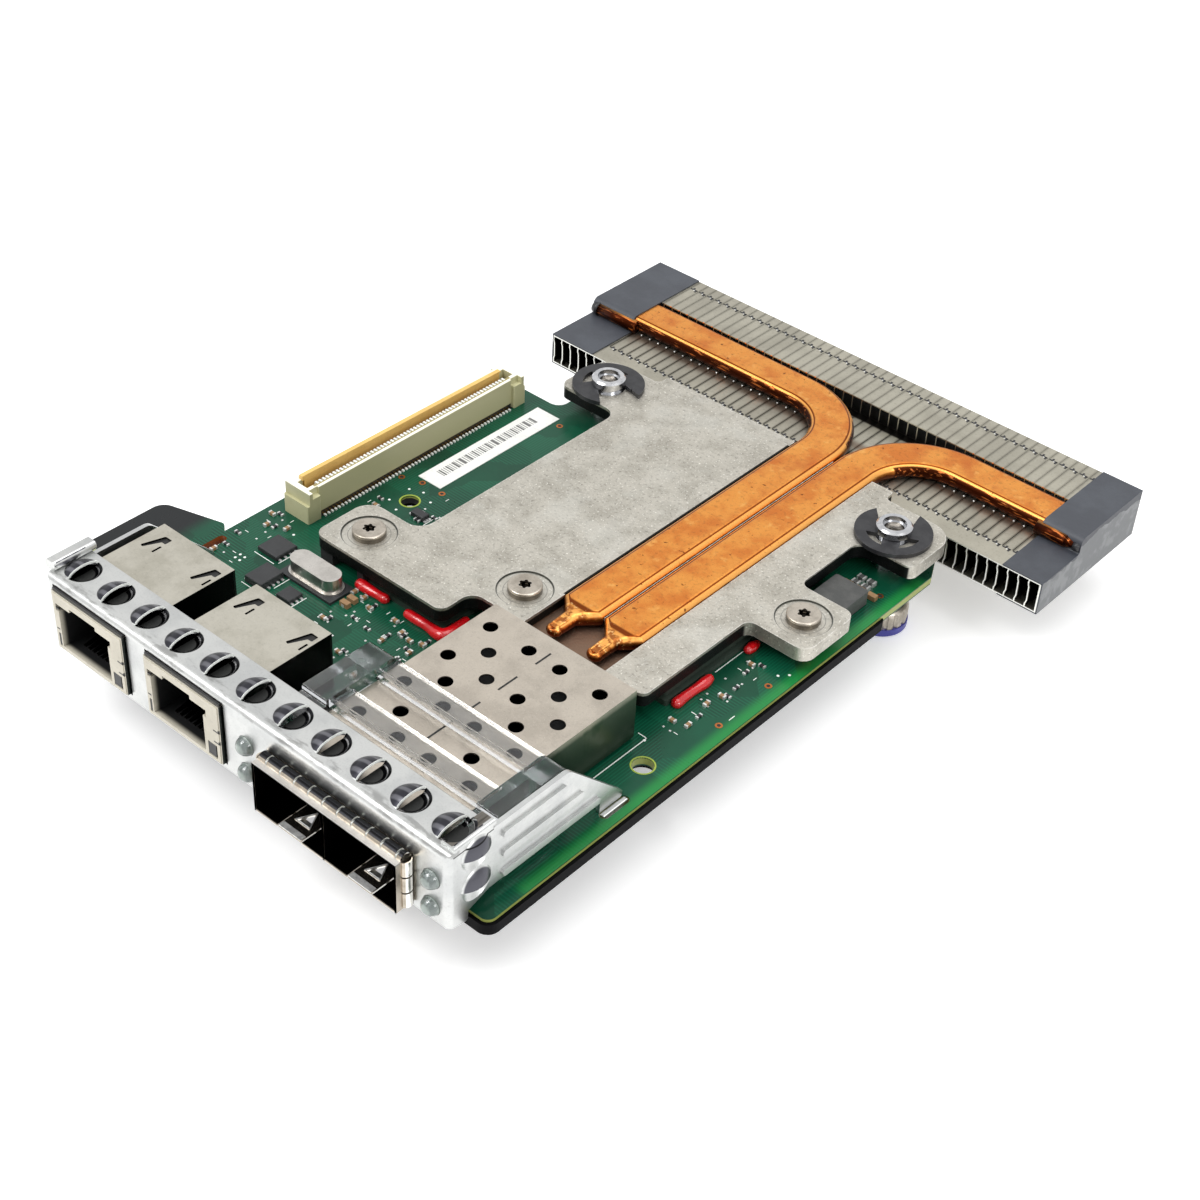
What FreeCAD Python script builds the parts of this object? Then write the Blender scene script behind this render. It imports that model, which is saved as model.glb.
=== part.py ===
import FreeCAD, Part
import math
import os

# Mezzanine network card, millimetres.
# x runs from the faceplate's left end, y from its front face to the fins, z up from the board's top face.
# Every piece is shifted at the end so that the right-hand locating hole lies at the origin.

# Circuit board
board_thickness = 1.6
board_front = 4.8
board_left = -3.8
board_right = 89.0
board_rear = 116.0
board_step_left = 10.7
board_step_y = 105.2
corner_radius = 1.5
rear_chamfer = 4.0
tab_left = -17.4
tab_front = 19.5
tab_rear = 38.9
tab_slant = 3.6
locating_radius = 1.75
locating_x = 84.0
locating_y = 43.2
second_locating_x = 12.1
second_locating_y = 65.4
second_locating_radius = 1.6
slot_width = 1.7
slot_length = 6.0
slot_centre_y = 33.6
slot_inset = 2.3

# Insulating tray under the board
tray_thickness = 1.0
tray_rim = 0.6
tray_rim_drop = 0.7
tray_end = 98.0
tray_hole_margin = 0.6

# Faceplate
face_width = 86.1
face_height = 14.0
face_bottom = -0.2
sheet = 0.8
flange_depth = 8.6
bend_radius = 1.1
ear_height = 13.3
ear_top_right = 24.0
ear_top_left = 19.5
ear_tail = 37.2
ear_floor = 2.3
ear_front_drop = 1.0
left_tab_roll = 0.75
left_tab_reach = 1.5
right_tab_width = 2.7
tab_front_y = 1.3
tab_rear_y = 9.2
ear_rib_start = 10.3
ear_rib_height = 1.3
ear_rib_rise = 0.45
ear_rib_pitch = 3.7
louvre_count = 11
louvre_margin = 3.6
louvre_y = 4.5
louvre_radius = 2.9
louvre_rise = 1.15
louvre_skin = 0.45

# Copper-pair jacks
jack_width = 16.8
jack_gap = 0.1
jack_front = -0.7
jack_rear = 21.4
jack_first = 10.4
jack_pitch = 21.8
shield_skin = 0.3
plug_width = 11.8
plug_height = 8.2
plug_floor = 1.9
plug_shift = -1.1
plug_depth = 15.0
latch_width = 6.2
latch_step = 0.7
latch_step_height = 1.3
window_margin = 0.35
window_floor = 1.0
window_top = 12.9
nose_drop = 0.6
nose_rise = 0.2
jack_lamp_width = 2.0
jack_lamp_height = 2.6
contact_count = 8
contact_pitch = 1.02
contact_width = 0.45
contact_rise = 2.4

# Pluggable port cage
cage_margin = 35.8
cage_width = 28.9
cage_height = 9.8
cage_floor = 0.5
cage_front = -3.1
cage_rear = 46.6
cage_skin = 0.3
cage_window_margin = 0.25
vent_radius = 1.2
vent_row = 4.6
vent_rows = 7
vent_last_y = 42.0
vent_spread = 4.0
finger_count = 10
finger_lead = 1.8
finger_side_count = 3
finger_gap = 0.3
finger_skin = 0.2
finger_rise = 0.6
finger_length = 1.9
tongue_width = 4.8
tongue_length = 6.4
tongue_lip = 0.4
host_width = 11.0
host_height = 5.6
host_depth = 11.0
host_slot = 1.5

# Light pipe
lamp_radius = 1.55
lamp_margin = 3.2
lamp_cage_gap = 4.8
lamp_low_z = 2.6
lamp_high_z = 7.8
guide_top = 11.5
guide_rear = 26.2
bar_front_y = 12.3
bar_rear_y = 21.4
bar_depth = 4.6
bar_wall = 0.8
bar_sheet = 0.9

# Board-to-board connector
mezz_left = -1.1
mezz_width = 6.1
mezz_front = 48.5
mezz_length = 53.6
mezz_ledge = 0.5
mezz_ledge_height = 3.6
mezz_height = 6.0
mezz_end = 3.0
mezz_wall = 1.1
mezz_lift = 0.9
mezz_inset = 0.7
mezz_pitch = 0.8
mezz_pins = 58
mezz_pin_width = 0.4
mezz_pin_skin = 0.25
mezz_tail = 0.6

# Chip packages and thermal pads
package_height = 2.3
pad_height = 0.6
pad_inset = 4.0
small_package = 17.4
small_package_left = 23.8
small_package_front = 44.2
large_package = 25.0
large_package_right = 78.0
large_package_front = 55.6
glue_radius = 0.75
glue_short_run = 6.0
glue_corner_run = 8.4
glue_corner_turn = 5.2
glue_side_start = 1.2
glue_side_run = 8.4
glue_drop_start = 19.2
glue_drop_run = 2.2

# Heatsink plate
plate_thickness = 2.6
pipe_web = 0.4
plate_front = 50.1
plate_front_left = 43.1
plate_left = 24.5
plate_step = 41.9
plate_right = 77.8
plate_rear = 120.6
lobe_left = 12.5
lobe_left_rear = 55.6
lobe_right = 89.3
lobe_right_front = 75.6
lobe_right_rear = 88.8
lug_left = 10.9
lug_right = 89.0
lug_front = 105.0
lug_rear = 118.0
spot_depth = 0.25
spot_radius = 4.7
head_radius = 2.85
head_height = 1.3
recess_radius = 0.85
screw_radius = 1.2
post_radius = 2.6
screw_places = [(19.1, 49.3), (47.4, 56.5), (83.8, 82.2)]

# Heat pipes
pipe_width = 8.2
pipe_thickness = 3.0
pipe_spacing = 8.5
pipe_share = 0.62
pipe_row_y = 135.2
pipe_bend = 13.8
pipe_start = 59.8
neck_length = 3.0
tip_length = 4.3
tip_width = 2.9
pipe_fit = 0.1

# Fin stack
stack_left = -3.6
stack_pitch = 2.05
fin_cells = 53
fin_skin = 0.3
stack_front = 119.2
stack_step_gap = 0.15
rear_strip_depth = 11.35
stack_bottom = -2.6
tape_skin = 0.25
tape_left_reach = 9.8
tape_right_reach = 7.6

# Captive screws
captive_spacing = 63.5
captive_left_x = 17.7
captive_y = 110.6
sleeve_radius = 3.1
sleeve_top = 7.8
sleeve_mouth_radius = 2.05
sleeve_mouth_depth = 1.0
sleeve_flange_radius = 4.6
sleeve_flange_height = 1.2
sleeve_fit = 0.05
clip_radius = 6.65
clip_thickness = 0.8
clip_neck = 2.6
clip_left_angle = -28.0
clip_right_angle = 117.0
shank_radius = 1.7
shank_fit = 0.08
shank_tip = 5.8
knob_radius = 4.7
knob_top = -8.0
knob_height = 3.5
knob_cap_height = 1.5
knob_flutes = 16

# Small parts on the board
label_left = 7.9
label_front = 71.6
label_width = 5.4
label_length = 30.8
label_skin = 0.12
crystal_length = 11.2
crystal_width = 4.6
crystal_height = 3.4
crystal_x = 17.3
crystal_y = 39.0
crystal_base = 0.5
inductor_side = 6.6
inductor_height = 2.8
inductor_x = 82.2
inductor_y = 95.0

# Derived heights and places
jack_height = face_height - sheet - jack_gap
nose_top = window_top - nose_drop
nose_floor = window_floor + nose_rise
plug_top = plug_floor + plug_height
louvre_pitch = (face_width - 2 * louvre_margin) / (louvre_count - 1)
cage_left = face_width - cage_margin
lamp_left_x = cage_left - lamp_cage_gap
lamp_right_x = face_width - lamp_margin
plate_bottom = package_height + pad_height
plate_top = plate_bottom + plate_thickness
pipe_bottom = plate_bottom + pipe_web
pipe_top = pipe_bottom + pipe_thickness
strip_top = pipe_bottom
stack_right = stack_left + fin_cells * stack_pitch + fin_skin
stack_step = pipe_row_y + pipe_width / 2 + stack_step_gap
stack_rear = stack_step + rear_strip_depth
pipe_left_x = captive_left_x + pipe_share * captive_spacing
pipe_right_x = pipe_left_x + pipe_spacing
captive_xs = [captive_left_x, captive_left_x + captive_spacing]
jack_xs = [jack_first, jack_first + jack_pitch]
port_pitch = (cage_width - cage_skin) / 2
port_xs = [cage_left + cage_skin / 2 + port_pitch * (k + 0.5) for k in range(2)]
datum = FreeCAD.Vector(locating_x, locating_y, 0)


def vec(x, y, z):
    return FreeCAD.Vector(x, y, z)


def flat(z):
    return lambda u, v: vec(u, v, z)


def side(x):
    return lambda u, v: vec(x, u, v)


def front(y):
    return lambda u, v: vec(u, y, v)


def rounded_wire(corners, plane):
    """Closed outline through (u, v, radius) corners, each rounded by a tangent arc."""
    count = len(corners)
    spans = []
    for k in range(count):
        u, v, radius = corners[k]
        here = vec(u, v, 0)
        back = vec(corners[k - 1][0], corners[k - 1][1], 0) - here
        ahead = vec(corners[(k + 1) % count][0], corners[(k + 1) % count][1], 0) - here
        back.normalize()
        ahead.normalize()
        half = back.getAngle(ahead) / 2
        if radius <= 0:
            spans.append((here, None, here))
            continue
        reach = radius / math.tan(half)
        middle = back + ahead
        middle.normalize()
        centre = here + middle * (radius / math.sin(half))
        spans.append((here + back * reach, centre - middle * radius, here + ahead * reach))
    edges = []
    for k in range(count):
        start, mid, end = spans[k]
        if mid is not None:
            points = [plane(p.x, p.y) for p in (start, mid, end)]
            edges.append(Part.Arc(*points).toShape())
        following = spans[(k + 1) % count][0]
        if (following - end).Length > 1e-6:
            edges.append(Part.makeLine(plane(end.x, end.y), plane(following.x, following.y)))
    return Part.Wire(edges)


def slab(corners, z_low, z_high):
    """Plate with rounded outline between two heights."""
    return Part.Face(rounded_wire(corners, flat(z_low))).extrude(vec(0, 0, z_high - z_low))


def cheek(corners, x_low, x_high):
    """Plate with rounded outline in y and z, between two x places."""
    return Part.Face(rounded_wire(corners, side(x_low))).extrude(vec(x_high - x_low, 0, 0))


def corners_of(u_low, u_high, v_low, v_high, radius):
    """The four corners of a rectangle, all with one radius."""
    return [(u_low, v_low, radius), (u_high, v_low, radius),
            (u_high, v_high, radius), (u_low, v_high, radius)]


def upper_rims(shape, height):
    """Closed edges that lie above a height."""
    return [edge for edge in shape.Edges if edge.Closed and edge.BoundBox.ZMin > height]


def block(x_low, x_high, y_low, y_high, z_low, z_high):
    return Part.makeBox(x_high - x_low, y_high - y_low, z_high - z_low, vec(x_low, y_low, z_low))


def post(x, y, radius, z_low, z_high):
    return Part.makeCylinder(radius, z_high - z_low, vec(x, y, z_low))


def slot_solid(x, y, width, length, z_low, z_high):
    """Round-ended slot that runs along y."""
    w, h = width / 2, length / 2
    return slab(corners_of(x - w, x + w, y - h, y + h, w * 0.98), z_low, z_high)


def save(name, shape):
    """Move a piece to the datum and write it."""
    moved = shape.copy()
    moved.translate(datum * -1)
    moved.exportStep("parts/" + name + ".step")


def board_holes(extra, z_low, z_high):
    """Holes shared by the board and the tray, wider by extra all round."""
    holes = [post(locating_x, locating_y, locating_radius + extra, z_low, z_high),
             post(second_locating_x, second_locating_y, second_locating_radius + extra, z_low, z_high)]
    for x in (board_left + slot_inset - 1.0, board_right - slot_inset):
        width, length = slot_width + 2 * extra, slot_length + 2 * extra
        holes.append(slot_solid(x, slot_centre_y, width, length, z_low, z_high))
    return Part.makeCompound(holes)


def circuit_board():
    """Board with the left tab, the rear lugs' outline, locating holes and plated slots."""
    outline = [
        (board_left, board_front, corner_radius),
        (board_right, board_front, corner_radius),
        (board_right, board_rear - rear_chamfer, 1.0),
        (board_right - rear_chamfer / 2, board_rear, 0.6),
        (board_step_left, board_rear, corner_radius),
        (board_step_left, board_step_y, 2.2),
        (board_left, board_step_y, 2.0),
        (board_left, tab_rear - 1.4, 0),
        (board_left - 1.6, tab_rear, 1.0),
        (tab_left, tab_rear - tab_slant, 2.6),
        (tab_left, tab_front, 1.0),
        (board_left, tab_front, 1.0),
    ]
    board = slab(outline, -board_thickness, 0)
    board = board.cut(board_holes(0, -board_thickness, 0))
    for x in captive_xs:
        board = board.cut(post(x, captive_y, sleeve_radius + sleeve_fit, -board_thickness, 0))
    for x, y in screw_places:
        board = board.cut(post(x, y, screw_radius + shank_fit, -board_thickness, 0))
    return board


def board_tray():
    """Thin moulded tray with a rim that covers the lower half of the board's edge."""
    left = board_left
    right = board_right + tray_rim
    low = -board_thickness - tray_thickness
    floor = slab([(left, board_front - tray_rim, corner_radius),
                  (right, board_front - tray_rim, corner_radius + tray_rim),
                  (right, tray_end, 1.0), (left, tray_end, 1.0)], low, -tray_rim_drop)
    inner = slab([(left - 1, board_front, corner_radius), (board_right, board_front, corner_radius),
                  (board_right, tray_end + 1, 0), (left - 1, tray_end + 1, 0)], -board_thickness, 0)
    tray = floor.cut(inner)
    tray = tray.cut(board_holes(tray_hole_margin, low, 0))
    return tray


def louvre(x, y, z, turn):
    """Raised half dome and the dished opening beside it; turn carries both from the flange to a side ear."""
    ball = (louvre_radius ** 2 + louvre_rise ** 2) / (2 * louvre_rise)
    low_centre = vec(0, 0, louvre_rise - ball)
    high_centre = vec(0, 0, ball - louvre_rise)
    reach = louvre_radius
    outer = Part.makeSphere(ball, low_centre).common(block(-reach, 0, -reach, reach, -0.4, 2))
    hollow = Part.makeSphere(ball - louvre_skin, low_centre)
    hollow = hollow.common(block(-reach, 0.01, -reach, reach, -3, 2))
    dish = Part.makeSphere(ball, high_centre).common(block(0, reach, -reach, reach, -3, 0.5))
    opening = Part.makeCompound([hollow, dish])
    for shape in (outer, opening):
        if turn:
            shape.rotate(vec(0, 0, 0), vec(0, 1, 0), 90)
        shape.translate(vec(x, y, z))
    return outer, opening


def ear_outline(top_end, tail):
    """Side ear in y and z: deep at the front, raised off the board, with a slanted rear edge."""
    return [
        (0, face_bottom, 0.3),
        (board_front - tray_rim - 0.4, -ear_front_drop, 0.5),
        (board_front - tray_rim - 0.3, 0.9, 0),
        (board_front + 3.2, ear_floor, 0.6),
        (tail - 6.2, ear_floor, 0.5),
        (tail - 6.2, 0.15, 0),
        (tail, 0.15, 0.8),
        (top_end, ear_height, 2.0),
        (0, ear_height, 0),
    ]


def folded_tabs():
    """Left ear's tab rolled like a bead, and the right ear's tab folded flat over the flange."""
    roll = left_tab_roll
    bead = corners_of(-left_tab_reach, 0.9, face_height - 0.1, face_height + 2 * roll, roll * 0.9)
    left = Part.Face(rounded_wire(bead, front(tab_front_y)))
    low, high = face_width - right_tab_width, face_height + sheet * 0.6
    fold = [(low, face_height, 0.2), (face_width, face_height - 0.2, 0),
            (face_width, high, 0.4), (low, high, 0.2)]
    right = Part.Face(rounded_wire(fold, front(tab_front_y)))
    run = vec(0, tab_rear_y - tab_front_y, 0)
    return left.extrude(run), right.extrude(run)


def ear_ribs():
    """Three pressed ribs on the right ear, each shorter at the top."""
    ribs = []
    for k in range(3):
        z = ear_height - 2.4 - k * ear_rib_pitch
        end = ear_top_right + (ear_height - z) * (ear_tail - ear_top_right) / ear_height - 3.2
        outline = corners_of(ear_rib_start, end, z - ear_rib_height / 2, z + ear_rib_height / 2, 0.5)
        ribs.append(cheek(outline, face_width - sheet / 2, face_width + ear_rib_rise))
    return ribs


def faceplate():
    """Folded steel bracket: front wall bent into a louvred top flange, and two ears with folded tabs."""
    section = [(0, face_bottom, 0.3), (0, face_height, bend_radius), (flange_depth, face_height, 0.2),
               (flange_depth, face_height - sheet, 0.2), (sheet, face_height - sheet, bend_radius - sheet),
               (sheet, face_bottom, 0.3)]
    shell = cheek(section, 0, face_width)
    left_ear = cheek(ear_outline(ear_top_left, ear_tail - 4.5), 0, sheet)
    right_ear = cheek(ear_outline(ear_top_right, ear_tail), face_width - sheet, face_width)
    shell = shell.fuse([left_ear, right_ear])
    shell = shell.common(slab([(0, 0, bend_radius), (face_width, 0, bend_radius),
                               (face_width, ear_tail + 1, 0),
                               (0, ear_tail + 1, 0)], -5, face_height + 1))
    shell = shell.fuse(list(folded_tabs()) + ear_ribs())
    domes = []
    openings = []
    for k in range(louvre_count):
        dome, opening = louvre(louvre_margin + k * louvre_pitch, louvre_y, face_height, False)
        domes.append(dome)
        openings.append(opening)
    for z in (ear_height - 2.2, ear_height - 8.1):
        dome, opening = louvre(face_width, louvre_y + 0.9, z, True)
        domes.append(dome)
        openings.append(opening)
    shell = shell.fuse(domes).cut(Part.makeCompound(openings))
    for x in jack_xs:
        half = jack_width / 2 + window_margin
        shell = shell.cut(block(x - half, x + half, -1, sheet + 0.1, window_floor, window_top))
    gap = cage_window_margin
    shell = shell.cut(block(cage_left - gap, cage_left + cage_width + gap, -1, sheet + 0.1,
                            cage_floor - gap, cage_height + gap))
    for x in (lamp_left_x, lamp_right_x):
        for z in (lamp_low_z, lamp_high_z):
            shell = shell.cut(Part.makeCylinder(lamp_radius + 0.1, sheet + 2, vec(x, -1, z), vec(0, 1, 0)))
    return shell.removeSplitter()


def jack_shield(x):
    """Drawn shield of one jack with hook-shaped spring cut-outs in its roof."""
    half = jack_width / 2
    body = block(x - half, x + half, sheet + 0.1, jack_rear, 0, jack_height)
    inside = block(x - half + shield_skin, x + half - shield_skin, sheet, jack_rear - shield_skin, -1,
                   jack_height - shield_skin)
    shield = body.cut(inside)
    nose = block(x - half, x + half, jack_front + 0.1, sheet + 0.1, nose_floor, nose_top)
    nose = nose.cut(block(x - half + shield_skin, x + half - shield_skin, jack_front - 1, jack_rear, 0,
                          nose_top - shield_skin))
    shield = shield.fuse(nose)
    roof_low = jack_height - 2 * shield_skin
    for offset in (-half + 1.9, half - 3.1):
        left = x + offset
        slit = slab([(left - 0.4, 15.4, 0.2), (left + 0.2, 15.2, 0.2), (left + 1.6, 18.0, 0.2),
                     (left + 2.4, 18.0, 0.2), (left + 2.4, 19.4, 0.2), (left + 0.9, 19.4, 0.3)],
                    roof_low, jack_height + 1)
        tail = slab(corners_of(left + 2.2, left + 2.6, 15.4, 17.2, 0.1), roof_low, jack_height + 1)
        shield = shield.cut(slit).cut(tail)
    return shield.removeSplitter()


def jack_insert(x):
    """Moulded insert with the plug cavity, wider at its top, a latch channel and two lamp windows."""
    half = jack_width / 2 - shield_skin
    body = block(x - half, x + half, sheet + 0.1, jack_rear - shield_skin, 0, jack_height - shield_skin)
    nose = block(x - half, x + half, jack_front, sheet + 0.2, nose_floor, nose_top - shield_skin)
    insert = body.fuse(nose)
    middle = x + plug_shift
    rear = jack_front + plug_depth
    wide = plug_width / 2 + latch_step
    insert = insert.cut(block(middle - plug_width / 2, middle + plug_width / 2, jack_front - 1, rear,
                              plug_floor, plug_top))
    insert = insert.cut(block(middle - wide, middle + wide, jack_front - 1, rear,
                              plug_top - latch_step_height, plug_top))
    insert = insert.cut(block(middle - latch_width / 2, middle + latch_width / 2, jack_front - 1, rear,
                              plug_top - 1, plug_top + latch_step))
    for low, high in ((x - half, middle - plug_width / 2), (middle + plug_width / 2, x + half)):
        width = min(jack_lamp_width, high - low - 0.6)
        centre = (low + high) / 2
        insert = insert.cut(block(centre - width / 2, centre + width / 2, jack_front - 1, jack_front + 0.5,
                                  nose_floor + 0.5, nose_floor + 0.5 + jack_lamp_height))
    return insert.removeSplitter()


def jack_contacts(x):
    """Eight sprung wires that rise from the cavity's floor towards the rear."""
    wires = []
    skin = contact_width / 2
    middle = x + plug_shift
    start = jack_front + 2.2
    end = jack_front + plug_depth
    peak = plug_floor + contact_rise
    for k in range(contact_count):
        left = middle + (k - (contact_count - 1) / 2) * contact_pitch - contact_width / 2
        outline = [(start, plug_floor, 0), (start, plug_floor + skin, 0), (end - 1.5, peak, 0),
                   (end, peak, 0), (end, peak - skin, 0), (end - 1.4, peak - skin, 0),
                   (start + 1.2, plug_floor, 0)]
        wires.append(cheek(outline, left, left + contact_width))
    return Part.makeCompound(wires)


def vent_places():
    """Quincunx of vent holes over each port, from the rear row forwards."""
    places = []
    for row in range(vent_rows):
        y = vent_last_y - row * vent_row
        for x in port_xs:
            offsets = (-vent_spread, vent_spread) if row % 2 == 0 else (0,)
            places.extend((x + offset, y) for offset in offsets)
    return places


def sfp_cage():
    """Folded cage for two ports, open at the front, with vent holes in its roof."""
    right = cage_left + cage_width
    body = block(cage_left, right, cage_front, cage_rear, cage_floor, cage_height)
    inside = block(cage_left + cage_skin, right - cage_skin, cage_front - 1, cage_rear - cage_skin,
                   cage_floor + cage_skin, cage_height - cage_skin)
    cage = body.cut(inside)
    roof_low = cage_height - 2 * cage_skin
    vents = [post(x, y, vent_radius, roof_low, cage_height + 1) for x, y in vent_places()]
    cage = cage.cut(Part.makeCompound(vents))
    for x in port_xs:
        half = tongue_width / 2 + 0.2
        rear = cage_front + tongue_length + 0.1
        tongue = [(x - half, cage_front - 1, 0), (x + half, cage_front - 1, 0),
                  (x + half, rear, 0.4), (x - half, rear, 0.4)]
        cage = cage.cut(slab(tongue, cage_floor - 1, cage_floor + 2 * cage_skin))
        cage = cage.cut(block(x - host_width / 2, x + host_width / 2, cage_rear - cage_skin - host_depth - 1,
                              cage_rear - cage_skin, cage_floor - 1, cage_floor + 2 * cage_skin))
    return cage


def latch_tongues():
    """Latch tongues at the mouth, each with a rounded lip and its triangular catch hole."""
    tongues = []
    half = tongue_width / 2
    near = cage_front + 0.1
    rear = near + tongue_length
    for x in port_xs:
        leaf = slab([(x - half, near, 0), (x + half, near, 0), (x + half, rear, 0.3), (x - half, rear, 0.3)],
                    cage_floor, cage_floor + cage_skin)
        top = cage_floor + tongue_lip
        lip = cheek([(near, cage_floor, 0), (near + 0.8, cage_floor, 0), (near + 0.8, top, 0.25),
                     (near, top, 0.25)], x - half, x + half)
        catch = slab([(x - 1.4, near + 2.3, 0), (x + 1.4, near + 2.3, 0), (x, near + 5.1, 0)],
                     cage_floor - 1, cage_floor + 1)
        tongues.append(leaf.fuse(lip).cut(catch))
    return Part.makeCompound(tongues)


def sfp_divider():
    """Wall between the two ports."""
    middle = cage_left + cage_width / 2
    return block(middle - cage_skin / 2, middle + cage_skin / 2, cage_front, cage_rear - cage_skin,
                 cage_floor + cage_skin, cage_height - cage_skin)


def spring_leaf(width):
    """One bowed spring finger that lies along y on top of z = 0, from its root at y = 0 forwards."""
    skin = finger_skin
    end = -finger_length
    upper = Part.Arc(vec(0, 0, skin), vec(0, end / 2, finger_rise + skin), vec(0, end, skin))
    lower = Part.Arc(vec(0, end, 0), vec(0, end / 2, finger_rise), vec(0, 0, 0))
    outline = Part.Wire([upper.toShape(), Part.makeLine(vec(0, end, skin), vec(0, end, 0)), lower.toShape(),
                         Part.makeLine(vec(0, 0, 0), vec(0, 0, skin))])
    return Part.Face(outline).extrude(vec(width, 0, 0))


def spring_fingers():
    """Bowed contact fingers round the cage mouth: a row above and a short row on each side."""
    leaves = []
    pitch = cage_width / finger_count
    bounds = [0.0] + [finger_lead + k * pitch for k in range(finger_count)] + [cage_width]
    for low, high in zip(bounds, bounds[1:]):
        leaf = spring_leaf(high - low - finger_gap)
        leaf.translate(vec(cage_left + low + finger_gap / 2, -0.1, cage_height))
        leaves.append(leaf)
    rise = (cage_height - cage_floor - 0.3) / finger_side_count
    for k in range(finger_side_count):
        for sign, x in ((1, cage_left + cage_width), (-1, cage_left)):
            leaf = spring_leaf(rise - finger_gap)
            leaf.rotate(vec(0, 0, 0), vec(0, 1, 0), 90 * sign)
            shift = rise * (k + 1) if sign > 0 else rise * k + finger_gap
            leaf.translate(vec(x, -0.1, cage_floor + 0.15 + shift))
            leaves.append(leaf)
    return Part.makeCompound(leaves)


def host_connector(x):
    """Edge connector at the back of one port, with its card slot."""
    rear = cage_rear - cage_skin - 0.2
    half = host_width / 2 - 0.2
    body = slab(corners_of(x - half, x + half, rear - host_depth, rear, 0.4), 0, host_height)
    slot = block(x - host_width / 2 + 1.4, x + host_width / 2 - 1.4, rear - host_depth - 1, rear - 3,
                 host_height / 2 - host_slot / 2 + 0.4, host_height / 2 + host_slot / 2 + 0.4)
    return body.cut(slot)


def light_pipe():
    """Clear moulding: four lamp noses, two side rails down to the board and two angle bars over the cage."""
    parts = []
    gap = 0.35
    rails = ((lamp_left_x - 1.0, cage_left - cage_window_margin - gap),
             (cage_left + cage_width + cage_window_margin + gap, lamp_right_x + 1.0))
    for (low, high), x in zip(rails, (lamp_left_x, lamp_right_x)):
        for z in (lamp_low_z, lamp_high_z):
            nose = Part.makeCylinder(lamp_radius, sheet + 2.6, vec(x, 0, z), vec(0, 1, 0))
            dome = Part.makeSphere(lamp_radius, vec(x, 0, z))
            dome = dome.common(block(x - 3, x + 3, -3, 0.1, z - 3, z + 3))
            parts.extend((nose, dome))
        near, foot, head = sheet + 1.2, lamp_low_z - 1.2, lamp_high_z + 1.4
        parts.append(cheek([(near, foot, 0.4), (guide_rear, foot, 0.4), (guide_rear, guide_top, 1.6),
                            (bar_front_y - 0.5, guide_top, 0.3), (bar_front_y - 0.5, guide_top - 1.0, 0.3),
                            (near + 3.0, head, 1.0), (near, head, 0.4)], low, high))
        parts.append(block(min(low, high - 1.2), max(high, low + 1.2), guide_rear - 3.0, guide_rear,
                           0.3, lamp_low_z))
    bar_left, bar_right = rails[0][0] + 0.4, rails[1][1] - 0.4
    bar_low = cage_height + 0.05
    for y in (bar_front_y, bar_rear_y):
        parts.append(block(bar_left, bar_right, y, y + bar_depth, bar_low, bar_low + bar_sheet))
        parts.append(block(bar_left, bar_right, y, y + bar_wall, bar_low, guide_top))
    shape = parts[0].fuse(parts[1:])
    window = block(-1, face_width, bar_front_y - 3, guide_rear - 3.6, lamp_low_z + 0.6, lamp_high_z - 1.4)
    return shape.cut(window).removeSplitter()


def mezz_housing():
    """Long socket housing: end blocks on the board, raised side walls and an open contact channel."""
    right = mezz_left + mezz_width
    rear = mezz_front + mezz_length
    ends = [slab(corners_of(mezz_left, right, low, low + mezz_end, 0.3), 0, mezz_height)
            for low in (mezz_front, rear - mezz_end)]
    body = block(mezz_left + mezz_inset, right - mezz_inset, mezz_front + mezz_end - 0.5,
                 rear - mezz_end + 0.5, mezz_lift, mezz_height)
    housing = ends[0].fuse([ends[1], body])
    channel = block(mezz_left + mezz_inset + mezz_wall, right - mezz_inset - mezz_wall,
                    mezz_front + 1.6, rear - 1.6, mezz_lift - 1, mezz_height + 1)
    housing = housing.cut(channel)
    above = mezz_height + 1
    for low in (mezz_front + 1.2, rear - 3.2):
        housing = housing.cut(block(right - 1.1, right + 1, low, low + 2.0, mezz_height - 1.3, above))
    for low in (mezz_front - 1, rear - mezz_ledge):
        step = block(mezz_left - 1, right + 1, low, low + 1 + mezz_ledge, mezz_ledge_height, above)
        housing = housing.cut(step)
    return housing.removeSplitter()


def mezz_contacts():
    """Two rows of L-shaped contacts: a tail on the board and a blade up the channel wall."""
    pins = []
    first = mezz_front + mezz_length / 2 - (mezz_pins - 1) * mezz_pitch / 2 - mezz_pin_width / 2
    inner_left = mezz_left + mezz_inset + mezz_wall
    inner_right = mezz_left + mezz_width - mezz_inset - mezz_wall
    tip = mezz_height - 0.5
    for k in range(mezz_pins):
        y = first + k * mezz_pitch
        for wall, outward in ((inner_left, -1), (inner_right, 1)):
            foot = wall + outward * (mezz_wall + mezz_tail)
            inner = wall - outward * mezz_pin_skin
            outline = [(foot, 0, 0), (foot, mezz_pin_skin, 0), (wall, mezz_pin_skin, 0), (wall, tip, 0),
                       (inner, tip, 0), (inner, 0, 0)]
            face = Part.Face(rounded_wire(outline, front(y)))
            pins.append(face.extrude(vec(0, mezz_pin_width, 0)))
    return Part.makeCompound(pins)


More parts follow.
